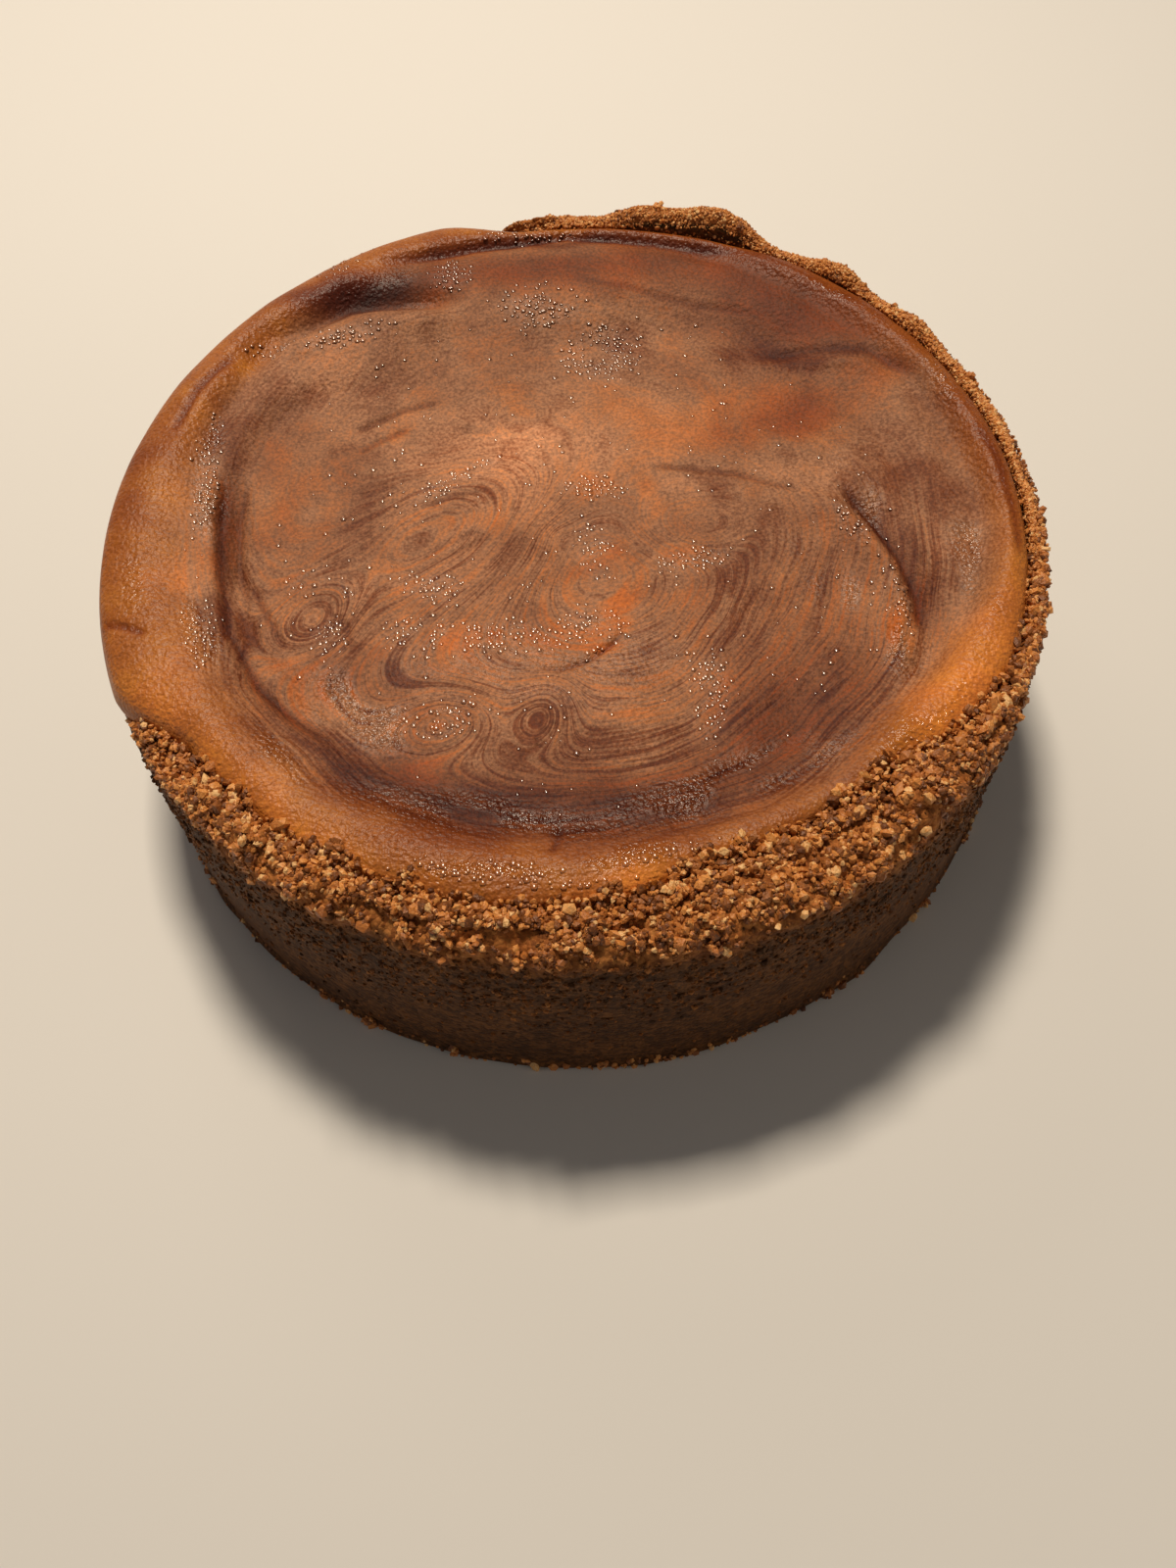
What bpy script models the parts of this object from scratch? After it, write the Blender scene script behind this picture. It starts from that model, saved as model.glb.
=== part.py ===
"""A whole baked cheesecake, marbled on top, in a pressed crumb crust. Metres, +Z up.

The origin is the middle of the flat underside. Bearings are in degrees, counter-clockwise
seen from above, from +X: 0 is the right-hand side, 90 the back, 180 the left, 270 the front.
Two solids make the cake. The crust is a cup of pressed crumbs, and the filling was poured and
baked in it. The filling rose to a fat rim, spilled over the crust on the left and at the back
left, and then sank in the middle.
"""

import itertools
import math
import random

import bmesh
import bpy
from mathutils import Euler, Vector

MM = 0.001

# What the noise over the cake is drawn from.
LATTICE = (127.1, 311.7, 74.7)
LATTICE_SPREAD = 43758.5453

# The crust: crumbs pressed into a round tin, which has been taken off.
TIN_RADIUS = 114.6 * MM
SLUMP = 1.4 * MM  # the wall leans out this much at its foot since the tin came off
CRUST_FLOOR = 8 * MM
FLOOR_CORNER = 6 * MM
CRUST_CREST = 66 * MM
CREST_UNDER_LIP = 57 * MM
FLAT_UNDER_LIP = 0.85
CRAG_HEIGHT = 2.0 * MM
CRAG_SIZE = 8 * MM
WALL_CRAGS = 0.9 * MM
BACK_CRAGS = 0.45  # share of the crags' and clusters' size that is left at the back
TORN_SPAN = 105  # degrees either side of the front beyond which the crest counts as back
TORN_FADE = 50
PRESSED_BELOW = 40 * MM  # the tin pressed the wall smooth below this height
FOOT_SPREAD = 1.0 * MM
FOOT_RISE = 3.5 * MM
FOOT_LUMP_SIZE = 13 * MM
CRUST_STEPS = 128

# The wall's thickness at each bearing: thin on the right, thickest at the front right.
WALL_THICKNESS = (
    (0, 4.5 * MM),
    (40, 5.5 * MM),
    (80, 8 * MM),
    (205, 9 * MM),
    (255, 10.5 * MM),
    (270, 12.5 * MM),
    (286, 17 * MM),
    (300, 16.5 * MM),
    (314, 15 * MM),
    (324, 8.3 * MM),
    (336, 5 * MM),
    (360, 4.5 * MM),
)

# Rows over the crust's crest: share of the wall's thickness from its inside, and drop.
CREST_ROWS = (
    (0.0, 8.5 * MM),
    (0.03, 3.4 * MM),
    (0.2, 0.8 * MM),
    (0.42, 0.0),
    (0.64, 0.7 * MM),
    (0.84, 2.6 * MM),
    (0.97, 5.4 * MM),
    (1.0, 9.0 * MM),
)
# Rows down the outer wall: share of the height from the foot to the last row of the crest.
WALL_ROWS = (0.88, 0.74, 0.45, 0.0)

# Broken pieces of crust that stand up above the rest: bearing, half width in degrees, rise.
STANDING_CHUNKS = (
    (66, 10, 7.0 * MM),
    (76, 9, 5.0 * MM),
    (47, 7, 4.0 * MM),
    (32, 7, 2.5 * MM),
    (12, 9, 1.0 * MM),
    (318, 16, 1.5 * MM),
)

# Crumb clusters on the crest and along the foot, which are fused to the crust. Each one's
# bearing is a golden share of the way round from the one before, which spreads them evenly.
CREST_CRUMBS = 46
FOOT_CRUMBS = 14
LARGE_CRUMB = 3.4 * MM
SMALL_CRUMB = 1.9 * MM
CRUMB_SEED = 7
CRUMB_SINK = 0.1  # share of its radius by which a cluster's middle lies below the crest
GOLDEN = 0.618034
FRONT_BEARING = 275
FRONT_SPAN = 55  # every second cluster from farther round is moved to this side of the front
FOOT_SPAN = 100

# The filling.
FIT_GAP = 0.3 * MM
RIM_HEIGHT = 69 * MM
FRONT_RIM_DROP = 1.0 * MM
PLATE_HEIGHT = 61.5 * MM
PLATE_DISH = 0.8 * MM
LIP_RADIUS = 114.9 * MM
LIP_CENTRE = 155
LIP_HALF_SPAN = 60
LIP_FADE = 13
LIP_TO_CREST = 1
CREST_FADE = 6
OUTSIDE_SOONER = 9  # degrees by which the crest's outside stands bare before its inside
SHOULDER = 7 * MM
LIP_SHOULDER = 10 * MM
# Rows of its side, from the edge of the top down: how far in from the wall, and height, and
# then the same for where the lip hangs over the crust, measured in from the lip's radius.
SIDE_ROWS = (
    (0.5 * MM, 65.0 * MM, 0.8 * MM, 64.0 * MM),
    (0.0, 64.0 * MM, 0.0, 61.5 * MM),
    (0.0, 61.0 * MM, 0.5 * MM, 58.2 * MM),
    (0.0, 58.5 * MM, 3.0 * MM, 57.3 * MM),
)
FILLING_STEPS = 96

# Rows from the middle of the top to its edge, as shares of the radius.
TOP_SHARES = (
    0.0, 0.09, 0.18, 0.27, 0.36, 0.45, 0.53, 0.6, 0.66, 0.72,
    0.77, 0.82, 0.865, 0.9, 0.93, 0.955, 0.975, 0.99, 1.0,
)  # fmt: skip

# The two steps from the sunken plate up to the rim: bearing, foot radius and width of the
# inner step, its rise, foot radius and width of the outer step, which rises to the rim.
RIM_STEPS = (
    (0, 84 * MM, 8 * MM, 1.5 * MM, 98 * MM, 8 * MM),
    (45, 78 * MM, 16 * MM, 3.5 * MM, 97 * MM, 6 * MM),
    (90, 60 * MM, 24 * MM, 4.5 * MM, 98 * MM, 5 * MM),
    (125, 62 * MM, 22 * MM, 4.0 * MM, 98 * MM, 5 * MM),
    (155, 84 * MM, 8 * MM, 2.5 * MM, 96 * MM, 7 * MM),
    (180, 81 * MM, 6 * MM, 3.0 * MM, 90 * MM, 14 * MM),
    (215, 79 * MM, 6 * MM, 2.5 * MM, 84 * MM, 15 * MM),
    (245, 76 * MM, 8 * MM, 1.5 * MM, 82 * MM, 13 * MM),
    (270, 66 * MM, 14 * MM, 1.5 * MM, 81 * MM, 13 * MM),
    (315, 78 * MM, 8 * MM, 1.5 * MM, 86 * MM, 11 * MM),
    (360, 84 * MM, 8 * MM, 1.5 * MM, 98 * MM, 8 * MM),
)

# Tears, folds and creases of the top: depth (a ridge's is negative), half width, route.
CREASES = (
    (4.0 * MM, 4.0 * MM, ((-0.088, 0.050), (-0.078, 0.066), (-0.058, 0.078), (-0.040, 0.079), (-0.024, 0.078))),
    (-1.4 * MM, 4.0 * MM, ((-0.084, 0.044), (-0.072, 0.062), (-0.052, 0.070), (-0.026, 0.070))),
    (-1.6 * MM, 3.5 * MM, ((0.056, 0.010), (0.066, 0.000), (0.074, -0.014), (0.077, -0.028), (0.072, -0.044))),
    (1.6 * MM, 4.0 * MM, ((0.068, 0.012), (0.078, -0.004), (0.083, -0.020), (0.083, -0.038), (0.075, -0.056))),
    (1.6 * MM, 3.0 * MM, ((-0.086, 0.030), (-0.084, 0.004), (-0.081, -0.020), (-0.073, -0.042), (-0.056, -0.060))),
    (1.6 * MM, 3.0 * MM, ((-0.060, 0.087), (-0.024, 0.098), (0.004, 0.101), (0.028, 0.096), (0.060, 0.084))),
)
CREASE_END = 0.18
SWELLS = ((0.8 * MM, 27 * MM), (0.45 * MM, 12 * MM))


def ease(t):
    """0 to 1, starting and stopping gently, as t goes from 0 to 1."""
    t = min(1.0, max(0.0, t))
    return t * t * (3.0 - 2.0 * t)


def apart(bearing, other):
    """Degrees between two bearings, the short way round."""
    return abs((bearing - other + 180.0) % 360.0 - 180.0)


def mound(bearing, centre, half_width):
    """1 at the centre bearing, easing to 0 half_width degrees away."""
    return ease(1.0 - apart(bearing, centre) / half_width)


def place(radius, bearing):
    """x and y of a point."""
    turn = math.radians(bearing)
    return radius * math.cos(turn), radius * math.sin(turn)


def uneven(x, y, z, size):
    """Smooth noise from about -1 to 1 whose lumps measure size.

    Each corner of a cubic lattice has its own random value, and a point takes those of the
    eight corners round it, eased from one to the next.
    """
    cell = [math.floor(v / size) for v in (x, y, z)]
    share = [ease(v / size - c) for v, c in zip((x, y, z), cell)]
    total = 0.0
    for corner in itertools.product((0, 1), repeat=3):
        at = [c + k for c, k in zip(cell, corner)]
        value = math.sin(sum(a * w for a, w in zip(at, LATTICE))) * LATTICE_SPREAD
        weight = math.prod(t if k else 1.0 - t for t, k in zip(share, corner))
        total += weight * (2.0 * (value - math.floor(value)) - 1.0)
    return total


def lip_reach(bearing):
    """0 where the filling stays inside the crust, 1 where its lip has reached the outside."""
    return ease((LIP_HALF_SPAN - apart(bearing, LIP_CENTRE)) / LIP_FADE)


def under_lip(bearing, share):
    """1 where the crust is low enough for the lip, 0 where it stands bare, at a share of the
    wall's thickness from its inside."""
    sooner = OUTSIDE_SOONER * ease((share - 0.25) / 0.75)
    bare_from = LIP_HALF_SPAN + LIP_TO_CREST + CREST_FADE - sooner
    return ease((bare_from - apart(bearing, LIP_CENTRE)) / CREST_FADE)


def read_row(bearing, table):
    """The values of a table at a bearing, eased from row to row."""
    bearing %= 360.0
    for low, high in zip(table, table[1:]):
        if low[0] <= bearing <= high[0]:
            t = ease((bearing - low[0]) / (high[0] - low[0]))
            return [a + (b - a) * t for a, b in zip(low[1:], high[1:])]
    return list(table[-1][1:])


def crust_inner_radius(bearing):
    """The radius of the inside of the crust's wall."""
    return TIN_RADIUS - read_row(bearing, WALL_THICKNESS)[0]


def torn(bearing):
    """How torn the crest is: 1 at the front, less at the back, where it baked smooth."""
    return BACK_CRAGS + (1.0 - BACK_CRAGS) * ease((TORN_SPAN - apart(bearing, FRONT_BEARING)) / TORN_FADE)


def crest_point(bearing, share, drop):
    """Radius and height of the crest at a share of the wall's thickness from its inside: low
    under the lip, higher where broken chunks stand up, and cragged where it stands bare."""
    under = under_lip(bearing, share)
    height = CRUST_CREST + (CREST_UNDER_LIP - CRUST_CREST) * under - drop * (1.0 - FLAT_UNDER_LIP * under)
    for centre, half_width, rise in STANDING_CHUNKS:
        height += rise * mound(bearing, centre, half_width)
    inner = crust_inner_radius(bearing)
    radius = inner + share * (TIN_RADIUS - inner)
    lump = uneven(*place(radius, bearing), 0.0, CRAG_SIZE) * ease(3.0 * share) * torn(bearing) * (1.0 - under)
    return radius - WALL_CRAGS * abs(lump) * ease(3.0 * share - 2.0), height + CRAG_HEIGHT * lump


def crust_section(bearing):
    """The cup's section: from the middle of its floor, up inside, over the crest, down outside."""
    inner = crust_inner_radius(bearing)
    rows = [(0.0, CRUST_FLOOR), (inner - FLOOR_CORNER, CRUST_FLOOR), (inner, CRUST_FLOOR + FLOOR_CORNER)]
    rows += [crest_point(bearing, share, drop) for share, drop in CREST_ROWS]
    top = rows[-1][1]
    for share in WALL_ROWS:
        height = FOOT_RISE + share * (top - FOOT_RISE)
        crag = uneven(*place(TIN_RADIUS, bearing), height, CRAG_SIZE)
        rough = ease((height - PRESSED_BELOW) / (CRUST_CREST - PRESSED_BELOW))
        lean = SLUMP * (1.0 - height / CRUST_CREST)
        rows.append((TIN_RADIUS + lean - WALL_CRAGS * rough * abs(crag), height))
    spread = FOOT_SPREAD * (0.6 + uneven(*place(TIN_RADIUS, bearing), 0.5, FOOT_LUMP_SIZE))
    foot = TIN_RADIUS + SLUMP + max(0.0, spread)
    rows += [(foot, 0.3 * FOOT_RISE), (foot - 0.4 * MM, 0.0), (0.0, 0.0)]
    return rows


def crease(x, y, depth, half_width, route):
    """How far a crease lowers the top at a place, fading out at both ends of its route."""
    here, points = Vector((x, y)), [Vector(point) for point in route]
    lengths = [(b - a).length for a, b in zip(points, points[1:])]
    gone, nearest, along = 0.0, 1.0, 0.0
    for a, b, length in zip(points, points[1:], lengths):
        direction = (b - a) / length
        t = min(length, max(0.0, (here - a).dot(direction)))
        distance = (here - a - direction * t).length
        if distance < nearest:
            nearest, along = distance, (gone + t) / sum(lengths)
        gone += length
    return depth * ease(min(along, 1.0 - along) / CREASE_END) * math.exp(-((nearest / half_width) ** 2))


def filling_height(x, y):
    """The height of the filling's top before it is rounded down at its edge."""
    radius, bearing = math.hypot(x, y), math.degrees(math.atan2(y, x))
    inner_foot, inner_width, shelf, outer_foot, outer_width = read_row(bearing, RIM_STEPS)
    rim = RIM_HEIGHT - FRONT_RIM_DROP * mound(bearing, 285, 70)
    plate = PLATE_HEIGHT + PLATE_DISH * (radius / inner_foot) ** 2
    height = plate + shelf * ease((radius - inner_foot) / inner_width)
    height += (rim - plate - shelf) * ease((radius - outer_foot) / outer_width)
    for depth, half_width, route in CREASES:
        height -= crease(x, y, depth, half_width, route)
    return height + sum(amount * uneven(x, y, amount, size) for amount, size in SWELLS)


def filling_section(bearing):
    """The filling's section: from the middle of its top, over the rim, down to its underside."""
    wall = crust_inner_radius(bearing) - FIT_GAP
    out = lip_reach(bearing)
    side = []
    for inset, height, lip_inset, lip_height in SIDE_ROWS:
        radius = wall - inset + (LIP_RADIUS - lip_inset - wall + inset) * out
        side.append((radius, height + (lip_height - height) * out))
    edge, edge_height = side[0]
    shoulder = SHOULDER + (LIP_SHOULDER - SHOULDER) * out
    rows = []
    for share in TOP_SHARES:
        radius = share * edge
        past = max(0.0, (radius - edge + shoulder) / shoulder)
        keep = math.sqrt(max(0.0, 1.0 - past * past))
        rows.append((radius, edge_height + (filling_height(*place(radius, bearing)) - edge_height) * keep))
    rows += side[1:]
    rows.append((wall, CREST_UNDER_LIP + FIT_GAP))
    rows.append((wall, CRUST_FLOOR + FIT_GAP + FLOOR_CORNER))
    rows.append((wall - FLOOR_CORNER, CRUST_FLOOR + FIT_GAP))
    rows.append((0.0, CRUST_FLOOR + FIT_GAP))
    return rows


def turned(name, section, steps):
    """A solid turned round the Z axis whose section, a list of (radius, height), varies as it goes."""
    first = section(0.0)
    profile = bpy.data.meshes.new(name + "_section")
    profile.from_pydata([(r, 0.0, z) for r, z in first], [(i, i + 1) for i in range(len(first) - 1)], [])
    row = profile.attributes.new("row", "INT", "POINT")
    row.data.foreach_set("value", range(len(first)))
    holder = bpy.data.objects.new(name + "_section", profile)
    bpy.context.scene.collection.objects.link(holder)
    screw = holder.modifiers.new("turn", "SCREW")
    screw.steps = screw.render_steps = steps
    screw.use_merge_vertices = True
    screw.merge_threshold = 0.00001
    screw.use_normal_calculate = True
    bpy.context.view_layer.update()
    mesh = bpy.data.meshes.new_from_object(holder.evaluated_get(bpy.context.evaluated_depsgraph_get()))
    bpy.data.objects.remove(holder)
    bpy.data.meshes.remove(profile)
    mesh.name = name
    sections = {}
    rows = [item.value for item in mesh.attributes["row"].data]
    for vertex, index in zip(mesh.vertices, rows):
        bearing = round(math.degrees(math.atan2(vertex.co.y, vertex.co.x)) % 360.0, 3)
        if index in (0, len(first) - 1):
            bearing = 0.0
        if bearing not in sections:
            sections[bearing] = section(bearing)
        radius, height = sections[bearing][index]
        vertex.co = (*place(radius, bearing), height)
    mesh.attributes.remove(mesh.attributes["row"])
    return bpy.data.objects.new(name, mesh)


def crest_drop(share):
    """How far below the crest's highest line its surface is, from the rows over the crest."""
    for (low, low_drop), (high, high_drop) in zip(CREST_ROWS, CREST_ROWS[1:]):
        if low <= share <= high:
            return low_drop + (high_drop - low_drop) * (share - low) / (high - low)
    return CREST_ROWS[-1][1]


def crumb(collection, draw, centre, radius):
    """One cluster of crumbs: an uneven little boulder."""
    shape = bmesh.new()
    bmesh.ops.create_icosphere(shape, subdivisions=1, radius=radius)
    for vertex in shape.verts:
        vertex.co *= draw.uniform(0.8, 1.15)
    mesh = bpy.data.meshes.new("crumb")
    shape.to_mesh(mesh)
    shape.free()
    obj = bpy.data.objects.new("crumb", mesh)
    obj.location = centre
    obj.rotation_euler = Euler([draw.uniform(0.0, math.tau) for _ in range(3)])
    collection.objects.link(obj)


def add_crumbs(crust):
    """Fuses the crumb clusters to the crust, the largest first, most of them at the front."""
    draw = random.Random(CRUMB_SEED)
    crumbs = bpy.data.collections.new("crumbs")
    bpy.context.scene.collection.children.link(crumbs)
    bare_span = 180 - LIP_HALF_SPAN - LIP_TO_CREST - CREST_FADE
    bare_centre = (LIP_CENTRE + 180) % 360
    for index in range(CREST_CRUMBS):
        turn = 2.0 * ((index * GOLDEN) % 1.0) - 1.0
        bearing = bare_centre + bare_span * turn
        if apart(bearing, FRONT_BEARING) > FRONT_SPAN and index % 2:
            bearing = FRONT_BEARING + FRONT_SPAN * turn
        radius = torn(bearing) * (LARGE_CRUMB + (SMALL_CRUMB - LARGE_CRUMB) * index / CREST_CRUMBS)
        reach = draw.uniform(0.0, 1.0)
        inner = crust_inner_radius(bearing)
        innermost = inner + FIT_GAP + 1.2 * radius
        outward = innermost + reach * (TIN_RADIUS - 0.5 * radius - innermost)
        share = (outward - inner) / (TIN_RADIUS - inner)
        out, height = crest_point(bearing, share, crest_drop(share))
        crumb(crumbs, draw, (*place(out, bearing), height - CRUMB_SINK * radius), radius)
    for index in range(FOOT_CRUMBS):
        bearing = bare_centre + FOOT_SPAN * (2.0 * ((index * GOLDEN) % 1.0) - 1.0)
        radius = SMALL_CRUMB * draw.uniform(0.7, 1.0)
        crumb(crumbs, draw, (*place(TIN_RADIUS + SLUMP, bearing), 1.25 * radius), radius)
    bpy.context.view_layer.update()
    union = crust.modifiers.new("crumbs", "BOOLEAN")
    union.operation = "UNION"
    union.operand_type = "COLLECTION"
    union.collection = crumbs
    union.solver = "EXACT"
    bpy.context.view_layer.update()
    joined = bpy.data.meshes.new_from_object(crust.evaluated_get(bpy.context.evaluated_depsgraph_get()))
    crust.modifiers.clear()
    crust.data = joined
    for obj in list(crumbs.objects):
        bpy.data.objects.remove(obj)
    bpy.data.collections.remove(crumbs)


def give_material(obj, colour, roughness, sharp_angle):
    """The solid's plain material, and smooth shading except across sharp edges."""
    material = bpy.data.materials.new(obj.name)
    material.use_nodes = True
    surface = material.node_tree.nodes["Principled BSDF"]
    surface.inputs["Base Color"].default_value = (*colour, 1.0)
    surface.inputs["Roughness"].default_value = roughness
    surface.inputs["Metallic"].default_value = 0.0
    obj.data.materials.clear()
    obj.data.materials.append(material)
    obj.data.shade_smooth()
    obj.data.set_sharp_from_angle(angle=math.radians(sharp_angle))


def main():
    for obj in list(bpy.data.objects):
        bpy.data.objects.remove(obj)
    crust = turned("crumb_crust", crust_section, CRUST_STEPS)
    filling = turned("filling", filling_section, FILLING_STEPS)
    for obj in (crust, filling):
        bpy.context.scene.collection.objects.link(obj)
    add_crumbs(crust)
    give_material(crust, colour=(0.36, 0.17, 0.065), roughness=0.85, sharp_angle=35)
    give_material(filling, colour=(0.30, 0.12, 0.05), roughness=0.35, sharp_angle=60)


main()
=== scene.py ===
"""A whole marbled cheesecake in its crumb crust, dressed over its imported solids.

Metres, +Z up. The cake stands on z = 0 and its front faces -Y. Bearings are in degrees,
counter-clockwise seen from above, from +X. The rows of the tables are in millimetres.
"""

import math
import random

import bpy
import numpy as np
from mathutils import Matrix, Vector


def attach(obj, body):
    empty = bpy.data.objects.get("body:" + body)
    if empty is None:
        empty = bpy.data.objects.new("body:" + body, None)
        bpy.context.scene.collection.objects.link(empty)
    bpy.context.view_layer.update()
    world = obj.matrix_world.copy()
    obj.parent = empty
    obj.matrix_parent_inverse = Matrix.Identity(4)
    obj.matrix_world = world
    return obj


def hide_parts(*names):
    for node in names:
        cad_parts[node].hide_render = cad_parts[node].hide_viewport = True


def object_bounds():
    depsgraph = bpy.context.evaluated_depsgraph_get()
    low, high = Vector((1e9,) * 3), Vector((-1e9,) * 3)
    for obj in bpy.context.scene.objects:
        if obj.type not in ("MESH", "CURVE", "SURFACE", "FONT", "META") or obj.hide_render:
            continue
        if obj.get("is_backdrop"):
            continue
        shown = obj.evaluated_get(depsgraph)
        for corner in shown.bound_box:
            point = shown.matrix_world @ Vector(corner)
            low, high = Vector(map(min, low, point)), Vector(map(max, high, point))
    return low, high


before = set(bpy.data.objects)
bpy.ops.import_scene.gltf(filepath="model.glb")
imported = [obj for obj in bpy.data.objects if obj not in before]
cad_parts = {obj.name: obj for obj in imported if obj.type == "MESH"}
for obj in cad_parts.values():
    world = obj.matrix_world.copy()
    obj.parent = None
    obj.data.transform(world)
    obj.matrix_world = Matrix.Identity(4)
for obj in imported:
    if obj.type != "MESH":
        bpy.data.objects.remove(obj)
cad_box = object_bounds()
MM = 0.001

# The crust. Buttery biscuit crumbs were pressed by hand into a round tin and baked. The tin
# left the lower wall smooth and dark, and the top edge broke up when the tin came off.
# It is one wall turned round the axis, with crags along its crest.

TIN_RADIUS = 114.6 * MM
SLUMP = 1.4 * MM
CRUST_FLOOR = 8 * MM
FLOOR_CORNER = 6 * MM
CRUST_CREST = 66 * MM
CREST_UNDER_LIP = 57 * MM
FLAT_UNDER_LIP = 0.85
CRAG_HEIGHT = 2.0 * MM
CRAG_SIZE = 8 * MM
WALL_CRAGS = 0.9 * MM
BACK_CRAGS = 0.45
TORN_SPAN = 105
TORN_FADE = 50
FRONT_BEARING = 275
PRESSED_BELOW = 40 * MM
FOOT_SPREAD = 1.0 * MM
FOOT_EVENNESS = 0.6
FOOT_RISE = 3.5 * MM
FOOT_TUCK = 0.4 * MM
FOOT_LUMP_SIZE = 13 * MM
LIP_CENTRE = 155
LIP_HALF_SPAN = 60
LIP_FADE = 13
LIP_TO_CREST = 1
CREST_FADE = 6
OUTSIDE_SOONER = 9
OUTSIDE_FROM = 0.25
LATTICE = (127.1, 311.7, 74.7)
LATTICE_SPREAD = 43758.5453

# Bearing and thickness of the wall.
WALL_THICKNESS = (
    (0, 4.5), (40, 5.5), (80, 8), (205, 9), (255, 10.5), (270, 12.5), (286, 17), (300, 16.5),
    (314, 15), (324, 8.3), (336, 5), (360, 4.5),
)
# Rows over the crest: share of the wall's thickness from its inside, and drop.
CREST_ROWS = (
    (0, 8.5), (0.03, 3.4), (0.2, 0.8), (0.42, 0), (0.64, 0.7), (0.84, 2.6), (0.97, 5.4), (1, 9),
)
# Rows down the outside of the wall: share of its height.
WALL_ROWS = (0.88, 0.74, 0.45, 0.0)
# Broken pieces that stand up above the rest: bearing, half width in degrees, rise.
STANDING_CHUNKS = (
    (66, 10, 7), (76, 9, 5), (47, 7, 4), (32, 7, 2.5), (12, 9, 1), (318, 16, 1.5),
)


def ease(t):
    """0 to 1, starting and stopping gently: 3t² - 2t³ of t held between 0 and 1."""
    t = np.clip(t, 0.0, 1.0)
    return t * t * (3.0 - 2.0 * t)


def between(low, high, share):
    """low + (high - low) × share."""
    return low + (high - low) * share


def rising(value, low, high):
    """0 up to a low value, easing to 1 at a high one."""
    return ease((value - low) / (high - low))


def apart(bearing, other):
    """Degrees between two bearings, the short way round."""
    return np.abs((bearing - other + 180.0) % 360.0 - 180.0)


def mound(bearing, centre, half_width):
    """1 at the centre bearing, easing to 0 half_width degrees away."""
    return ease(1.0 - apart(bearing, centre) / half_width)


def place(radius, bearing):
    """x = radius × cos(bearing), y = radius × sin(bearing)."""
    turn = np.radians(bearing)
    return radius * np.cos(turn), radius * np.sin(turn)


def bearing_of(x, y):
    """The bearing of a place."""
    return np.degrees(np.arctan2(y, x))


def read_row(bearing, table):
    """The columns of a table at each bearing, eased from row to row and turned into metres."""
    table = np.array(table)
    bearing = np.asarray(bearing) % 360.0
    low = np.clip(np.searchsorted(table[:, 0], bearing, side="right") - 1, 0, len(table) - 2)
    t = rising(bearing, table[low, 0], table[low + 1, 0])
    return [between(column[low], column[low + 1], t) for column in MM * table.T[1:]]


def lattice_value(cell):
    """A random value from 0 to 1 for each lattice corner: the fraction of a large sine."""
    value = np.sin(cell @ np.array(LATTICE)) * LATTICE_SPREAD
    return value - np.floor(value)


def uneven(x, y, z, size):
    """Smooth noise from about -1 to 1 whose lumps measure size.

    Each corner of a cubic lattice has its own random value, and a point takes those of the
    eight corners round it, eased from one to the next. On a flat pattern z only picks the
    layer of the lattice, so that patterns differ.
    """
    point = np.stack(np.broadcast_arrays(x, y, z), -1) / size
    cell = np.floor(point)
    share = ease(point - cell)
    total = 0.0
    for corner in np.ndindex(2, 2, 2):
        weight = np.prod(np.where(np.array(corner) == 1, share, 1.0 - share), -1)
        total = total + weight * (2.0 * lattice_value(cell + corner) - 1.0)
    return total


def crevices(x, y, z, size):
    """0 at the middle of each crumb cluster, rising to about 1 in the gaps between them.

    Each cell of a cubic lattice holds one random point, and the value is the distance to the
    nearest of them, over size.
    """
    point = np.stack(np.broadcast_arrays(x, y, z), -1) / size
    cell = np.floor(point)
    nearest = np.full(point.shape[:-1], 9.0)
    for step in np.ndindex(3, 3, 3):
        other = cell + np.array(step) - 1.0
        seed = np.stack([lattice_value(other + shift) for shift in (0.0, 17.3, 41.9)], -1)
        nearest = np.minimum(nearest, np.linalg.norm(other + seed - point, axis=-1))
    return nearest


def lip_reach(bearing):
    """0 where the filling stays inside the crust, 1 where its lip has reached the outside."""
    return ease((LIP_HALF_SPAN - apart(bearing, LIP_CENTRE)) / LIP_FADE)


def under_lip(bearing, share):
    """1 where the crust is low enough for the lip, 0 where it stands bare, at a share of the
    wall's thickness from its inside."""
    sooner = OUTSIDE_SOONER * rising(share, OUTSIDE_FROM, 1.0)
    bare_from = LIP_HALF_SPAN + LIP_TO_CREST + CREST_FADE - sooner
    return ease((bare_from - apart(bearing, LIP_CENTRE)) / CREST_FADE)


def crust_inner_radius(bearing):
    """The radius of the inside of the crust's wall."""
    return TIN_RADIUS - read_row(bearing, WALL_THICKNESS)[0]


def torn(bearing):
    """How torn the crest is: 1 at the front, less at the back, where it baked smooth."""
    front = ease((TORN_SPAN - apart(bearing, FRONT_BEARING)) / TORN_FADE)
    return between(BACK_CRAGS, 1.0, front)


def crest_point(bearing, share):
    """Radius and height of the crest at a share of the wall's thickness from its inside: low
    under the lip, higher where broken chunks stand up, and cragged where it stands bare."""
    under = under_lip(bearing, share)
    drop = MM * np.interp(share, *np.transpose(CREST_ROWS))
    height = between(CRUST_CREST, CREST_UNDER_LIP, under) - drop * (1.0 - FLAT_UNDER_LIP * under)
    for centre, half_width, rise in STANDING_CHUNKS:
        height = height + rise * MM * mound(bearing, centre, half_width)
    radius = between(crust_inner_radius(bearing), TIN_RADIUS, share)
    lump = uneven(*place(radius, bearing), 0.0, CRAG_SIZE) * ease(3.0 * share)
    lump = lump * torn(bearing) * (1.0 - under)
    return radius - WALL_CRAGS * np.abs(lump) * ease(3.0 * share - 2.0), height + CRAG_HEIGHT * lump


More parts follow.
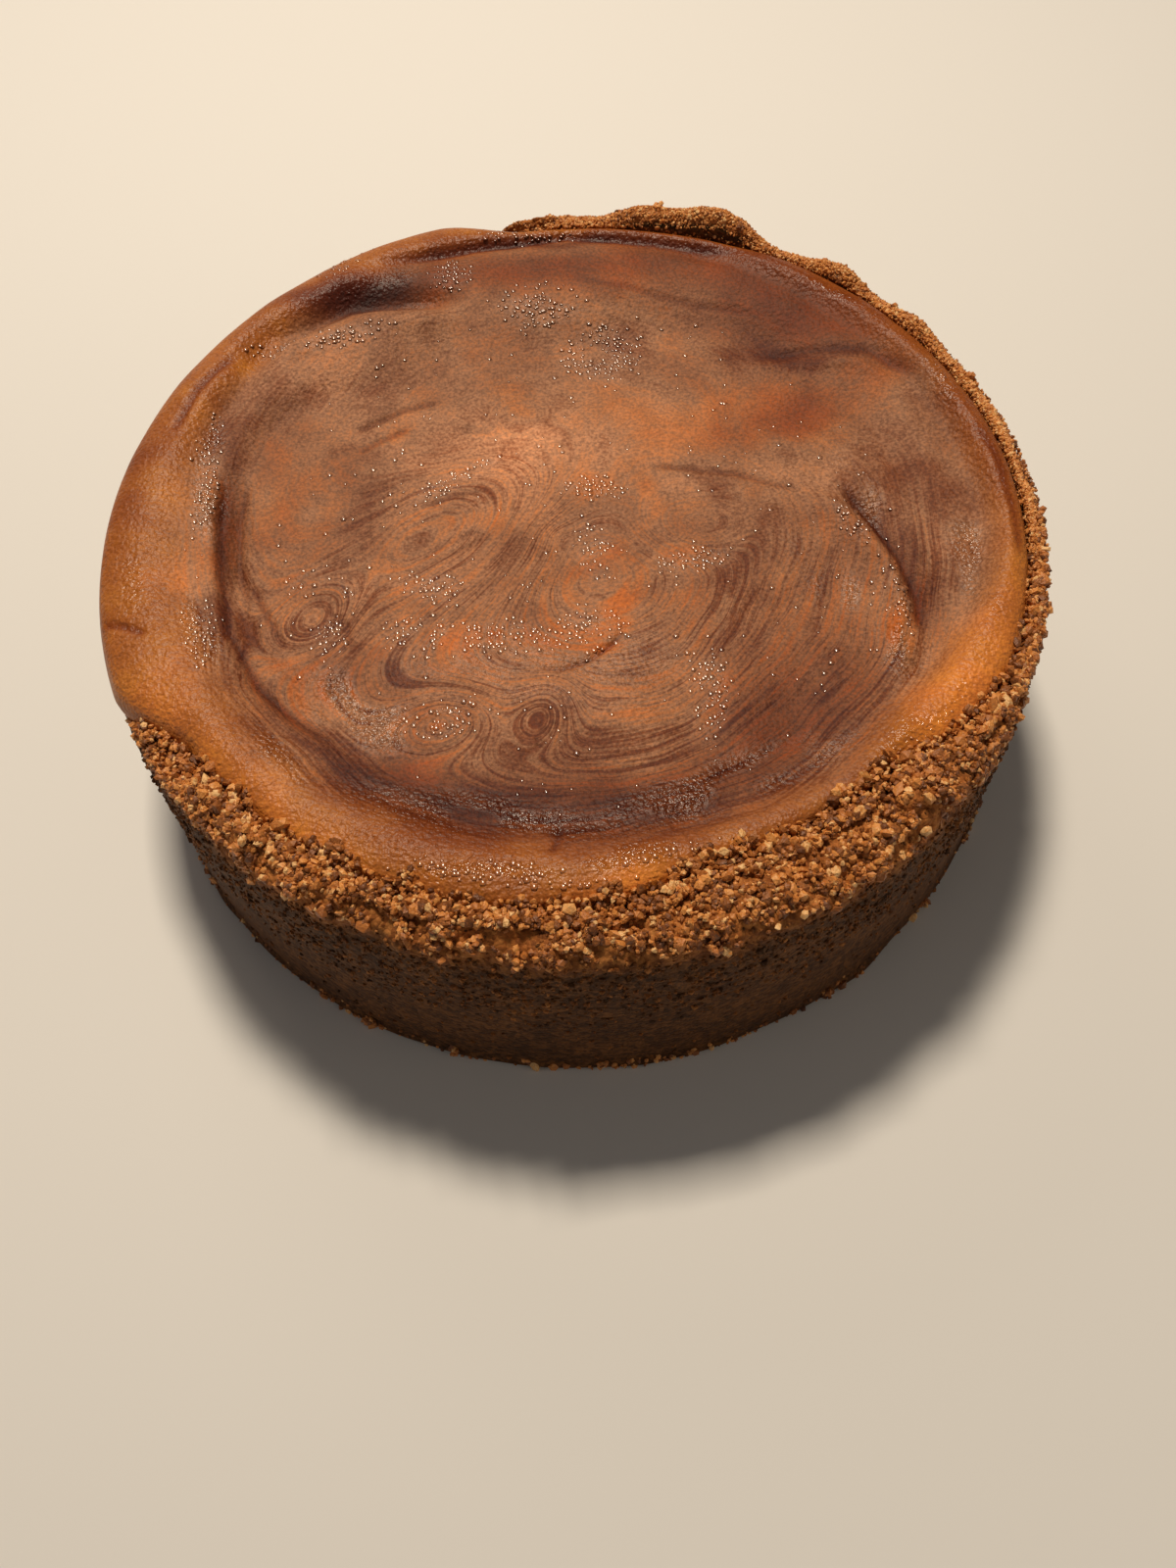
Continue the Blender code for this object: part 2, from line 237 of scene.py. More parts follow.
def crust_section(bearing):
    """Rows of (radius, height), an array of rows × 2 × bearings: from the middle of the cup's
    floor, up its inside, over the crest, down the outside and in along the underside."""
    inner = crust_inner_radius(bearing)
    flat = np.ones_like(bearing)
    rows = [(0 * flat, CRUST_FLOOR * flat), (inner - FLOOR_CORNER, CRUST_FLOOR * flat)]
    rows.append((inner, (CRUST_FLOOR + FLOOR_CORNER) * flat))
    rows += [crest_point(bearing, share) for share, _ in CREST_ROWS]
    top = rows[-1][1]
    for share in WALL_ROWS:
        height = between(FOOT_RISE, top, share)
        crag = uneven(*place(TIN_RADIUS, bearing), height, CRAG_SIZE)
        rough = rising(height, PRESSED_BELOW, CRUST_CREST)
        lean = SLUMP * (1.0 - height / CRUST_CREST)
        rows.append((TIN_RADIUS + lean - WALL_CRAGS * rough * np.abs(crag), height))
    lump = FOOT_EVENNESS + uneven(*place(TIN_RADIUS, bearing), 0.5, FOOT_LUMP_SIZE)
    foot = TIN_RADIUS + SLUMP + np.maximum(0.0, FOOT_SPREAD * lump)
    rows += [(foot, 0.3 * FOOT_RISE * flat), (foot - FOOT_TUCK, 0 * flat), (0 * flat, 0 * flat)]
    return np.array(rows)


def refined(rows, steps, straight_from=99):
    """Each stretch between two rows cut into its number of steps, along a curve through all the
    rows (Catmull-Rom: a cubic whose slope at a row is half the way from the row before to the
    row after), or straight past a given row."""
    fine = [rows[:1]]
    for i, count in enumerate(steps):
        a, b, c, d = rows[max(i - 1, 0)], rows[i], rows[i + 1], rows[min(i + 2, len(rows) - 1)]
        t = (np.arange(1, count + 1) / count).reshape(-1, 1, 1)
        curve = b + 0.5 * t * (c - a + t * (2 * a - 5 * b + 4 * c - d + t * (3 * (b - c) + d - a)))
        fine.append(between(b, c, t) if i >= straight_from or count == 1 else curve)
    return np.concatenate(fine)


def ring_faces(rings):
    """The faces between rings of point numbers, each a row of them, closed all the way round."""
    following = np.roll(rings, -1, axis=1)
    return np.stack((rings[:-1], rings[1:], following[1:], following[:-1]), -1).reshape(-1, 4)


def pole_faces(ring, pole):
    """The triangles between a ring of point numbers and the one point that it closes to."""
    return np.stack((ring, np.full_like(ring, pole), np.roll(ring, -1)), -1)


def add_piece(name, points, face_arrays, smooth=True):
    """A mesh object from an array of points and arrays of faces, riding on the cake's one body."""
    mesh = bpy.data.meshes.new(name)
    mesh.from_pydata(points, [], sum((faces.tolist() for faces in face_arrays), []))
    mesh.shade_smooth() if smooth else mesh.shade_flat()
    piece = bpy.data.objects.new(name, mesh)
    bpy.context.scene.collection.objects.link(piece)
    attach(piece, "root")
    return piece


def add_values(piece, name, values):
    """A named value for each point of a piece, which its material reads: one number or three."""
    values = np.asarray(values, dtype=np.float32)
    kind, field = ("FLOAT", "value") if values.ndim == 1 else ("FLOAT_VECTOR", "vector")
    piece.data.attributes.new(name, kind, "POINT").data.foreach_set(field, values.ravel())


CRUST_BEARINGS = 1000
CRUST_STEPS = (1, 1, 2, 4, 5, 5, 5, 5, 5, 5, 7, 9, 14, 10, 3, 1, 1)
STRAIGHT_FROM = 13  # below this row the wall and its foot run straight between the rows
FIRST_RELIEF_ROW = 10  # the rows before it face the filling and stay smooth
LAST_RELIEF_ROW = -3
CLUSTER_SIZE = 6.0 * MM
CLUSTER_RELIEF = 2.2 * MM
CRUMB_SIZE = 2.0 * MM
CRUMB_RELIEF = 0.75 * MM
CREVICE_LEVEL = 0.35
PRESSED_RELIEF = 0.16 * MM
PRESSED_SIZE = 1.7 * MM
PRESSED_ABOVE = 1 * MM
BROKEN_WAVE = 2 * MM
BROKEN_WAVE_SIZE = 14 * MM
# Bearing, height where the wall starts to be crumbly, and height where it is broken open.
BROKEN_FROM = (
    (0, 44, 62), (120, 44, 62), (230, 50, 65), (262, 50, 66), (290, 48, 65), (320, 44, 64),
    (360, 44, 62),
)

bearing = np.arange(CRUST_BEARINGS) * 360.0 / CRUST_BEARINGS
section = refined(crust_section(bearing), CRUST_STEPS, STRAIGHT_FROM)
radius, height = section[:, 0], section[:, 1]
x, y = place(radius, bearing)
start, full = read_row(bearing, BROKEN_FROM)
wave = BROKEN_WAVE * uneven(x, y, 0.7, BROKEN_WAVE_SIZE)
crumbly = rising(height + wave, start, full) * (1.0 - under_lip(bearing, 1.0))
crumbly[:FIRST_RELIEF_ROW] = 0.0
along = np.gradient(section, axis=0)
length = np.maximum(np.hypot(along[:, 0], along[:, 1]), 1e-9)
out_radius, out_height = -along[:, 1] / length, along[:, 0] / length
tear = torn(bearing)
clusters_out = CREVICE_LEVEL - crevices(x, y, height, CLUSTER_SIZE)
crumbs_out = CREVICE_LEVEL - crevices(x, y, height, CRUMB_SIZE)
relief = crumbly * tear * (CLUSTER_RELIEF * tear * clusters_out + CRUMB_RELIEF * crumbs_out)
relief += PRESSED_RELIEF * uneven(x, y, height, PRESSED_SIZE) * (height > PRESSED_ABOVE)
relief[:FIRST_RELIEF_ROW] = 0.0
relief[LAST_RELIEF_ROW:] = 0.0
x, y = place(radius + relief * out_radius, bearing)
height = height + relief * out_height
# The first and last rows have closed to a point each: the middles of the floor and the underside.
ring_points = np.stack((x, y, height), -1)[1:-1].reshape(-1, 3)
crust_points = np.concatenate((ring_points, [(0, 0, CRUST_FLOOR), (0, 0, 0)]))
rings = np.arange(len(ring_points)).reshape(-1, CRUST_BEARINGS)
wall_faces = ring_faces(rings)
cup_middle = pole_faces(rings[0, ::-1], len(ring_points))
foot_middle = pole_faces(rings[-1], len(ring_points) + 1)
crust = add_piece("pressed_crust", crust_points, (wall_faces, cup_middle, foot_middle))
crumbly_points = np.append(crumbly[1:-1].ravel(), (0.0, 0.0))
add_values(crust, "crumbly", crumbly_points)
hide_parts("crumb_crust")


def feed(tree, node, values):
    """Sets a node's sockets, each to a fixed value or to what another node puts out."""
    for key, value in values.items():
        if isinstance(value, bpy.types.NodeSocket):
            tree.links.new(value, node.inputs[key])
        else:
            node.inputs[key].default_value = value
    return node


def add_node(tree, kind, values, **settings):
    """A shader node with its settings and its sockets' values."""
    node = tree.nodes.new(kind)
    for key, value in settings.items():
        setattr(node, key, value)
    return feed(tree, node, values)


def maths(tree, operation, first, second):
    """What one Math node makes of two sockets or numbers."""
    return add_node(tree, "ShaderNodeMath", {0: first, 1: second}, operation=operation).outputs[0]


def weighed_sum(tree, *terms):
    """The sum of (socket - middle) × weight over the terms (socket, middle, weight)."""
    total = 0.0
    for socket, middle, weight in terms:
        part = maths(tree, "MULTIPLY", maths(tree, "SUBTRACT", socket, middle), weight)
        total = maths(tree, "ADD", total, part)
    return total


def map_range(tree, value, to_low, to_high, low=0.0, high=1.0):
    """A value carried from low..high to to_low..to_high, and held there."""
    values = {"Value": value, "From Min": low, "From Max": high}
    values |= {"To Min": to_low, "To Max": to_high}
    return add_node(tree, "ShaderNodeMapRange", values).outputs["Result"]


def noise(tree, vector, scale, detail, roughness=0.5, lacunarity=2.0):
    """Noise from 0 to 1 over a vector."""
    values = {"Vector": vector, "Scale": scale, "Detail": detail}
    values |= {"Roughness": roughness, "Lacunarity": lacunarity}
    return add_node(tree, "ShaderNodeTexNoise", values).outputs["Fac"]


def colour_ramp(tree, value, stops):
    """The colour at a value between (position, colour) stops."""
    node = add_node(tree, "ShaderNodeValToRGB", {"Fac": value})
    for end, (position, colour) in zip(node.color_ramp.elements, (stops[0], stops[-1])):
        end.position, end.color = position, (*colour, 1)
    for position, colour in stops[1:-1]:
        node.color_ramp.elements.new(position).color = (*colour, 1)
    return node.outputs["Color"]


def mixed(tree, factor, first, second, kind="RGBA"):
    """The first colour or number where the factor is 0, the second where it is 1."""
    values = {"Factor": factor, "A": first, "B": second}
    return add_node(tree, "ShaderNodeMix", values, data_type=kind).outputs["Result"]


def stored(tree, name, output="Fac"):
    """What add_values has stored on the piece under a name."""
    return add_node(tree, "ShaderNodeAttribute", {}, attribute_name=name).outputs[output]


def bump_of(tree, height, strength, distance):
    """The normal that a height gives."""
    values = {"Height": height, "Strength": strength, "Distance": distance}
    return add_node(tree, "ShaderNodeBump", values).outputs["Normal"]


def add_material(name):
    """A new material with its node tree and its surface shader."""
    material = bpy.data.materials.new(name)
    material.use_nodes = True
    return material, material.node_tree, material.node_tree.nodes["Principled BSDF"]


def crumb_grain_group():
    """The grain of biscuit crumbs, for every piece of crust, over Object coordinates.

    Tone is a sum of each fine cell's own value, fine noise and broad noise. Relief, for the
    bump, is 1 - the distance to the cell's middle + the fine noise.
    """
    tree = bpy.data.node_groups.new("crumb_grain", "ShaderNodeTree")
    for name, side in (("Grain Scale", "INPUT"), ("Tone", "OUTPUT"), ("Relief", "OUTPUT")):
        tree.interface.new_socket(name, in_out=side, socket_type="NodeSocketFloat")
    scale = tree.nodes.new("NodeGroupInput").outputs["Grain Scale"]
    where = tree.nodes.new("ShaderNodeTexCoord").outputs["Object"]
    cells = add_node(tree, "ShaderNodeTexVoronoi", {"Vector": where, "Scale": scale}, feature="F1")
    own = add_node(tree, "ShaderNodeSeparateColor", {0: cells.outputs["Color"]}).outputs[0]
    fine = noise(tree, where, scale, 5.0, 0.65)
    broad = noise(tree, where, 90.0, 3.0)
    tone = weighed_sum(tree, (own, 0.0, 0.35), (fine, 0.0, 0.45), (broad, 0.0, 0.45))
    relief = maths(tree, "ADD", maths(tree, "SUBTRACT", 1.0, cells.outputs["Distance"]), fine)
    feed(tree, tree.nodes.new("NodeGroupOutput"), {"Tone": tone, "Relief": relief})
    return tree


crumb_grain = crumb_grain_group()

# The pressed wall is dark where the tin squeezed butter out of the crumbs, and toasted
# golden brown where it has broken open.
PRESSED_COLOURS = (
    (0.38, (0.043, 0.0155, 0.0043)),
    (0.6, (0.080, 0.029, 0.0073)),
    (0.82, (0.17, 0.066, 0.018)),
)
BROKEN_COLOURS = (
    (0.3, (0.11, 0.030, 0.006)),
    (0.6, (0.36, 0.115, 0.024)),
    (0.85, (0.56, 0.22, 0.055)),
)
crust_material, tree, surface = add_material("pressed_crumbs")
grain = add_node(tree, "ShaderNodeGroup", {"Grain Scale": 900.0}, node_tree=crumb_grain)
pressed = colour_ramp(tree, grain.outputs["Tone"], PRESSED_COLOURS)
broken = colour_ramp(tree, grain.outputs["Tone"], BROKEN_COLOURS)
opened = map_range(tree, stored(tree, "crumbly"), 0.0, 1.0, 0.35, 1.0)
crust_look = {
    "Base Color": mixed(tree, opened, pressed, broken),
    "Normal": bump_of(tree, grain.outputs["Relief"], 0.7, 0.6 * MM),
    "Roughness": 0.72,
    "Specular IOR Level": 0.2,
}
feed(tree, surface, crust_look)
crust.data.materials.append(crust_material)

# The filling. Chocolate batter and caramel batter were poured together, dragged into swirls
# and baked. The rim set first and stayed high; the middle rose, sank and wrinkled as it cooled.
# It is one solid whose top is a height over each place, with a lip that hangs over the crust.

FIT_GAP = 0.3 * MM
RIM_HEIGHT = 69 * MM
FRONT_RIM_DROP = 1.0 * MM
FRONT_RIM = (285, 70)
PLATE_HEIGHT = 61.5 * MM
PLATE_DISH = 0.8 * MM
LIP_RADIUS = 114.9 * MM
SHOULDER = 7 * MM
LIP_SHOULDER = 10 * MM
# Rows down the filling's side: inset from the crust and height, the same two where the lip is.
SIDE_ROWS = MM * np.array(
    (
        (0.5, 65, 0.8, 64), (0, 64, 0, 61.5), (0, 61, 0.5, 58.2), (0, 58.5, 3, 57.3),
    )
)
# Bearing, foot radius and width of the inner step, its rise, and the outer step's foot radius
# and width.
RIM_STEPS = (
    (0, 84, 8, 1.5, 98, 8), (45, 78, 16, 3.5, 97, 6), (90, 60, 24, 4.5, 98, 5),
    (125, 62, 22, 4, 98, 5), (155, 84, 8, 2.5, 96, 7), (180, 81, 6, 3, 90, 14),
    (215, 79, 6, 2.5, 84, 15), (245, 76, 8, 1.5, 82, 13), (270, 66, 14, 1.5, 81, 13),
    (315, 78, 8, 1.5, 86, 11), (360, 84, 8, 1.5, 98, 8),
)
# Tears, folds and creases: depth (a ridge's is negative), half width, route.
CREASES = (
    (4, 4, ((-88, 50), (-78, 66), (-58, 78), (-40, 79), (-24, 78))),
    (-1.4, 4, ((-84, 44), (-72, 62), (-52, 70), (-26, 70))),
    (-1.6, 3.5, ((56, 10), (66, 0), (74, -14), (77, -28), (72, -44))),
    (1.6, 4, ((68, 12), (78, -4), (83, -20), (83, -38), (75, -56))),
    (1.6, 3, ((-86, 30), (-84, 4), (-81, -20), (-73, -42), (-56, -60))),
    (1.6, 3, ((-60, 87), (-24, 98), (4, 101), (28, 96), (60, 84))),
)
CREASE_END = 0.18
SWELLS = MM * np.array(((0.8, 27), (0.45, 12)))

# The finer folds and cracks, which only the eye reads.
FINE_CREASES = (
    (0.65, 0.6, ((-10, -39.5), (-4, -41), (3, -38.5), (8, -34.5), (12, -30))),
    (-0.3, 1.8, ((-8, -37), (2, -36), (8, -31), (11, -25))),
    (0.6, 0.8, ((-79, -10), (-75, -18), (-71, -26), (-68, -33))),
    (1, 1, ((-87, 24), (-86.5, 6), (-85, -10), (-81, -28), (-73, -43), (-59, -57))),
    (0.6, 0.9, ((-81, 20), (-82.5, 6), (-81, -8), (-77, -20))),
    (0.6, 1, ((-56, 34), (-50, 38), (-42, 42), (-32, 45))),
    (0.45, 0.9, ((-54, 27), (-48, 32), (-40, 36))), (0.35, 0.9, ((-28, 34), (-19, 34))),
    (0.5, 0.9, ((18, 21), (30, 19), (42, 16), (50, 12), (59, 9))),
    (-1.1, 1.5, ((60, 9), (66, 3), (72, -7), (76.5, -18), (76.5, -30), (72, -40))),
    (1.2, 1.5, ((66, 12), (73, 1), (79, -12), (81.5, -24), (80, -38))),
    (-0.6, 1.6, ((46, 52), (62, 52), (76, 49), (88, 40))),
    (0.6, 1.4, ((50, 56), (64, 56), (80, 53), (92, 42))),
    (0.5, 0.8, ((-58, -21), (-54, -26), (-52, -33))),
    (0.5, 0.8, ((-5, -82), (-5.5, -87), (-7, -91))),
    (1.4, 1.4, ((-52, 91), (-24, 99), (2, 102), (26, 98), (56, 88))),
    (0.6, 1, ((101, 26), (105, 12), (106, -4), (105, -22))),
    (0.8, 1.2, ((-100, 30), (-95, 45), (-86, 60))),
    (0.7, 1.1, ((-110, -26), (-104, -28), (-98, -31))),
    (0.35, 0.9, ((0, 84), (18, 80), (36, 74), (56, 68))),
    (0.35, 0.8, ((-36, 9), (-29, 13), (-21, 14))),
    (0.3, 0.8, ((-40, -12), (-32, -7), (-24, -3), (-18, 2))),
    (0.3, 0.8, ((-38, -8), (-30, -2), (-22, 2))),
)


def crease(x, y, depth, half_width, route):
    """How far a crease lowers the top at each place: depth × e^-(distance / half width)², which
    fades out at both ends of its route."""
    points = MM * np.array(route)
    lengths = np.linalg.norm(np.diff(points, axis=0), axis=1)
    gone, nearest, along = 0.0, np.ones_like(x), np.zeros_like(x)
    for a, b, length in zip(points, points[1:], lengths):
        direction = (b - a) / length
        t = np.clip((x - a[0]) * direction[0] + (y - a[1]) * direction[1], 0.0, length)
        distance = np.hypot(x - a[0] - direction[0] * t, y - a[1] - direction[1] * t)
        closer = distance < nearest
        along = np.where(closer, (gone + t) / lengths.sum(), along)
        nearest = np.where(closer, distance, nearest)
        gone += length
    ends = ease(np.minimum(along, 1.0 - along) / CREASE_END)
    return depth * MM * ends * np.exp(-((nearest / (half_width * MM)) ** 2))


def filling_height(x, y):
    """The height of the filling's top before it is rounded down at its edge: the plate, an inner
    and an outer step up to the rim, the creases, and gentle swells."""
    radius, bearing = np.hypot(x, y), bearing_of(x, y)
    inner_foot, inner_width, shelf, outer_foot, outer_width = read_row(bearing, RIM_STEPS)
    rim = RIM_HEIGHT - FRONT_RIM_DROP * mound(bearing, *FRONT_RIM)
    plate = PLATE_HEIGHT + PLATE_DISH * (radius / inner_foot) ** 2
    height = plate + shelf * ease((radius - inner_foot) / inner_width)
    height = height + (rim - plate - shelf) * ease((radius - outer_foot) / outer_width)
    for depth, half_width, route in CREASES:
        height = height - crease(x, y, depth, half_width, route)
    return height + sum(amount * uneven(x, y, amount, size) for amount, size in SWELLS)


# Where the batter was dragged round: x, y, turn in degrees, length over width, reach.
SWIRLS = np.array(
    (
        (-24, 4, 32, 1.75, 24), (29, 1, -8, 1.3, 10), (-62, -24, 60, 1.4, 8),
        (-30, -53, 15, 1.5, 9), (-8, -52, 70, 1.4, 7), (58, 33, 10, 1.6, 11),
        (-12, 40, 20, 1.2, 5),
    )
) * (MM, MM, 1, 1, MM)
SWIRL_HILL = 2.6
SWIRL_TURN = 2.4
SWIRL_TURN_REACH = 1.3
RINGS_LEFT = 3 * MM


def drag(x, y):
    """A value whose level lines are the lines along which the batter was dragged.

    Far from the swirls it is the distance from just left of the cake's middle, so the lines are
    rings, made to waver by two sizes of noise. Each swirl adds a hill,
    hill × reach × e^-(distance / reach)², whose own rings are ovals.
    """
    value = np.hypot(x + RINGS_LEFT, y)
    for waver, layer, size in ((2.2, 0.11, 21), (0.8, 0.27, 8)):
        value = value + waver * MM * uneven(x, y, layer, size * MM)
    for centre_x, centre_y, turn, stretch, reach in SWIRLS:
        c, s = math.cos(math.radians(turn)), math.sin(math.radians(turn))
        along = (c * (x - centre_x) + s * (y - centre_y)) / stretch
        across = -s * (x - centre_x) + c * (y - centre_y)
        value = value + SWIRL_HILL * reach * np.exp(-(along**2 + across**2) / reach**2)
    return value


def dragged(x, y):
    """Places turned round each swirl's centre, most at the centre and less farther out:
    turn × e^-(distance / (its share × reach))² radians."""
    for centre_x, centre_y, _, _, reach in SWIRLS:
        dx, dy = x - centre_x, y - centre_y
        turn = SWIRL_TURN * np.exp(-(dx**2 + dy**2) / (SWIRL_TURN_REACH * reach) ** 2)
        x = centre_x + np.cos(turn) * dx - np.sin(turn) * dy
        y = centre_y + np.sin(turn) * dx + np.cos(turn) * dy
    return x, y


# Pools of caramel (positive) and of chocolate (negative): strength, x, y, length, width, turn.
POOLS = (
    (0.55, -23, 5, 6, 3, 25), (0.75, -14, -31, 16, 5, -6), (1, 8, -26, 5, 10, -25),
    (0.5, 10, -10, 3, 8, 5), (0.5, 6, 13, 6, 3, -10), (0.6, 21, 9, 2.5, 6, 5),
    (0.8, 30, -9, 9, 3.5, 8), (0.45, 31, 36, 14, 13, 30), (0.85, 56, 34, 15, 8, 8),
    (0.6, 66, 66, 20, 8, -32), (0.55, 80, 50, 6, 9, 20), (0.35, 5, 85, 30, 6, 0),
    (0.8, 30, -55, 3, 10, -12), (0.6, -30, -54, 9, 4, 10), (0.4, -55, -45, 8, 5, -40),
    (0.5, -47, 32, 8, 2, 35), (0.55, -12, 41, 3, 3, 0), (0.9, 77, -35, 2.5, 6, 15),
    (0.4, 15, -70, 24, 6, 12), (0.2, -95, -14, 12, 5, -5), (0.45, -72, -2, 5, 14, 5),
    (-0.6, 85, 6, 11, 24, 8), (-0.8, 68, 54, 18, 4, -8), (-0.6, 30, -34, 9, 8, 30),
    (-0.7, -55, -63, 14, 4, -40), (-0.3, -45, 14, 9, 5, 40), (-0.6, -8, -53, 6, 8, 0),
    (-0.8, -66, -29, 5, 6, 60), (-0.3, -12, -2, 4, 7, 20), (-0.6, 20, -62, 20, 7, 20),
    (-0.45, -20, -80, 30, 6, -3), (-0.35, 45, -72, 22, 5, 30), (-0.2, -60, 52, 20, 9, 12),
    (-0.35, -86, 40, 6, 14, 10), (-0.6, -56, 81, 8, 4, 0), (-0.4, 22, 68, 12, 7, 30),
)
SOFT_EDGE = 0.6
POOL_PUSH = 3.5 * MM


def oval(x, y, centre_x, centre_y, length, width, turn):
    """The distance from an oval's centre, 1 at its edge: length along its turn, width across."""
    c, s = math.cos(math.radians(turn)), math.sin(math.radians(turn))
    dx, dy = x / MM - centre_x, y / MM - centre_y
    return np.hypot((c * dx + s * dy) / length, (-s * dx + c * dy) / width)


def pooled(x, y):
    """Each pool's strength × e^-(0.6 × its oval distance cubed), summed, at places that noise
    pushes about."""
    push_x, push_y = (POOL_PUSH * uneven(x, y, layer, 9 * MM) for layer in (0.41, 0.53))
    x, y = x + push_x, y + push_y
    return sum(s * np.exp(-SOFT_EDGE * oval(x, y, *pool) ** 3) for s, *pool in POOLS)


# Places where small bubbles set as glossy beads: x, y, length, width, turn.
BEADS = (
    (-33, -16, 7, 4, -15), (-36, -30, 8, 5, 0), (-14, -31, 14, 4, -5), (4, -30, 7, 6, 20),
    (6, -6, 4, 8, 10), (28, -10, 9, 3, 5), (6, 14, 7, 3, 0), (-64, -12, 5, 3, 30),
    (-54, -12, 3, 5, 10), (-58, -29, 4, 5, 0), (-29, 18, 12, 2.5, 32), (-30, -53, 7, 4, 15),
    (-65, 64, 16, 3, 8), (-30, 87, 5, 5, 0), (-6, 75, 9, 6, 0), (10, 60, 8, 8, 0),
    (-58, 92, 8, 3, 30), (30, -50, 4, 10, -10), (69, -2, 3, 7, 25), (76, -25, 3, 8, 0),
    (15, -95, 22, 4, 8), (60, -80, 22, 4, 40), (78, 82, 14, 3, -45), (95, 60, 3, 14, 10),
    (38, 100, 14, 2, -15), (-6, 104, 14, 3, 0), (-91, 19, 3, 17, 0), (-87, -28, 3, 11, 10),
    (-22, -94, 16, 3, -4),
)


def beaded(x, y):
    """1 inside each place of beads, fading out: e^-(0.6 × its oval distance⁴), the largest."""
    return np.max([np.exp(-SOFT_EDGE * oval(x, y, *spot) ** 4) for spot in BEADS], axis=0)


def clumped(x, y):
    """How far the beads and the wet skin bunch up: soft noise drawn out along the drag lines."""
    return ease(0.8 + 1.3 * uneven(drag(x, y), 0.3 * x, 0.3 * y, 2.6 * MM))


# Where the skin set smooth and wet: how wet, x, y, length, width, turn.
WET_SKIN = (
    (1, -90, 19, 4, 19, 3), (1, -87, -28, 5, 13, 10), (0.8, -104, -16, 4, 12, 12),
    (0.3, -110, 12, 3, 26, -4), (0.9, -70, -62, 16, 5, -48), (1, -20, -95, 18, 4, -4),
    (1, 10, -92, 12, 4, 8), (0.9, 45, -85, 26, 5, 32), (1, 76, -62, 20, 7, 50),
    (0.9, 97, -20, 6, 24, 4), (0.8, -22, -80, 34, 7, -12), (0.8, 30, -74, 34, 7, 20),
    (0.8, 68, -30, 6, 26, 30), (0.8, -50, -50, 20, 8, -35), (0.4, -10, -40, 34, 12, 0),
    (0.6, 74, 4, 4, 16, 20), (0.7, 0, 104, 44, 3, 0), (0.9, 62, 84, 34, 5, -40),
    (0.8, 96, 46, 5, 26, 14), (0.5, -50, 82, 26, 8, 18),
)
WET_ROUND_BEADS = 0.35


def wetted(x, y):
    """The wettest of the patches at each place, each wetness × e^-(its oval distance)⁴, frayed
    along the drag lines, and a third of that round the beads."""
    patches = np.max([wet * np.exp(-oval(x, y, *patch) ** 4) for wet, *patch in WET_SKIN], axis=0)
    frayed = ease(0.62 + 1.2 * uneven(drag(x, y), 0.4 * x, 0.4 * y, 4.5 * MM))
    return np.maximum(patches * frayed, WET_ROUND_BEADS * beaded(x, y) * clumped(x, y))


# Where the top is lighter (positive) or darker: partly the oven's browning, partly painted light,
# namely painted shade in the tear's recess, along the crease under the back rim and beside the
# steps, and a painted sheen in the middle. Strength, x, y, length, width, turn.
BAKING_AND_SHADE = (
    (0.6, -8, 25, 24, 16, 10), (0.2, -62, 56, 18, 10, 20), (-1.9, -55, 81, 18, 5, 10),
    (-0.95, 60, 70, 30, 16, -38), (-0.75, 0, 88, 40, 9, 0), (-0.55, 0, 100, 36, 2.2, 0),
    (-0.75, -86, 4, 3, 18, 0), (-0.55, 84, -20, 3, 16, 0), (-0.6, -60, -58, 16, 2.5, -42),
    (-0.65, 58, 36, 15, 9, 5), (-1.05, -34, -74, 26, 10, -20), (-1.05, 12, -78, 26, 10, 6),
    (-0.75, 48, -58, 22, 12, 42), (-0.15, -45, -38, 14, 12, -35), (0.45, -62, -82, 24, 9, -35),
    (0.5, 86, -54, 24, 9, 58), (0.25, -94, -48, 9, 20, 28), (0.75, 22, -99, 34, 6, 8),
    (-0.4, -109, 14, 6, 24, -5), (-0.4, 105, 20, 6, 32, 12), (0.2, -94, -2, 6, 20, 0),
    (-0.25, 45, -20, 22, 18, 0), (-0.2, -62, 18, 14, 14, 0),
)
# Painted shade: how much darker each millimetre of a fine crease's depth paints it.
PAINTED_CREASE_SHADE = 0.9
# Where the top is darker, from the oven's browning and from painted shade alike, it turns redder
# too: the powers that red, green and blue fall by besides.
DARKER_REDDER = (0.0, 0.6, 1.15)


def baked_and_shaded(x, y):
    """How light each place is, as a power of e, from the oven's browning and from painted shade
    and sheen: each oval's strength × e^-(its distance)², summed at places that noise pushes
    about, and two sizes of mottling."""
    push_x, push_y = (3 * MM * uneven(x, y, layer, 11 * MM) for layer in (0.61, 0.73))
    x, y = x + push_x, y + push_y
    total = sum(strength * np.exp(-oval(x, y, *patch) ** 2) for strength, *patch in BAKING_AND_SHADE)
    return total + 0.16 * uneven(x, y, 0.83, 13 * MM) + 0.12 * uneven(x, y, 0.91, 5 * MM)


TOP_CELLS = 280
SIDE_STEPS = (2, 2, 3, 2, 6, 1, 1)
STREAK_RELIEF = 0.13 * MM
STREAK_WIDTH = 1.7 * MM
GRAIN_RELIEF = 0.07 * MM
GRAIN_WIDTH = 2.6 * MM
MAIN_SWIRL = (-22, 2, 34, 26, 0)
STREAKS_TO = 91 * MM


def streakiness(x, y):
    """How clearly the drag lines show: all over the front half, as far out as the rim, and round
    the main swirl."""
    front = 0.25 + 0.75 * ease((20 * MM - y) / (50 * MM))
    front = front - ease((np.hypot(x + RINGS_LEFT, y) - STREAKS_TO) / (10 * MM))
    return np.maximum(np.clip(front, 0.0, 1.0), 0.9 * np.exp(-oval(x, y, *MAIN_SWIRL) ** 4))


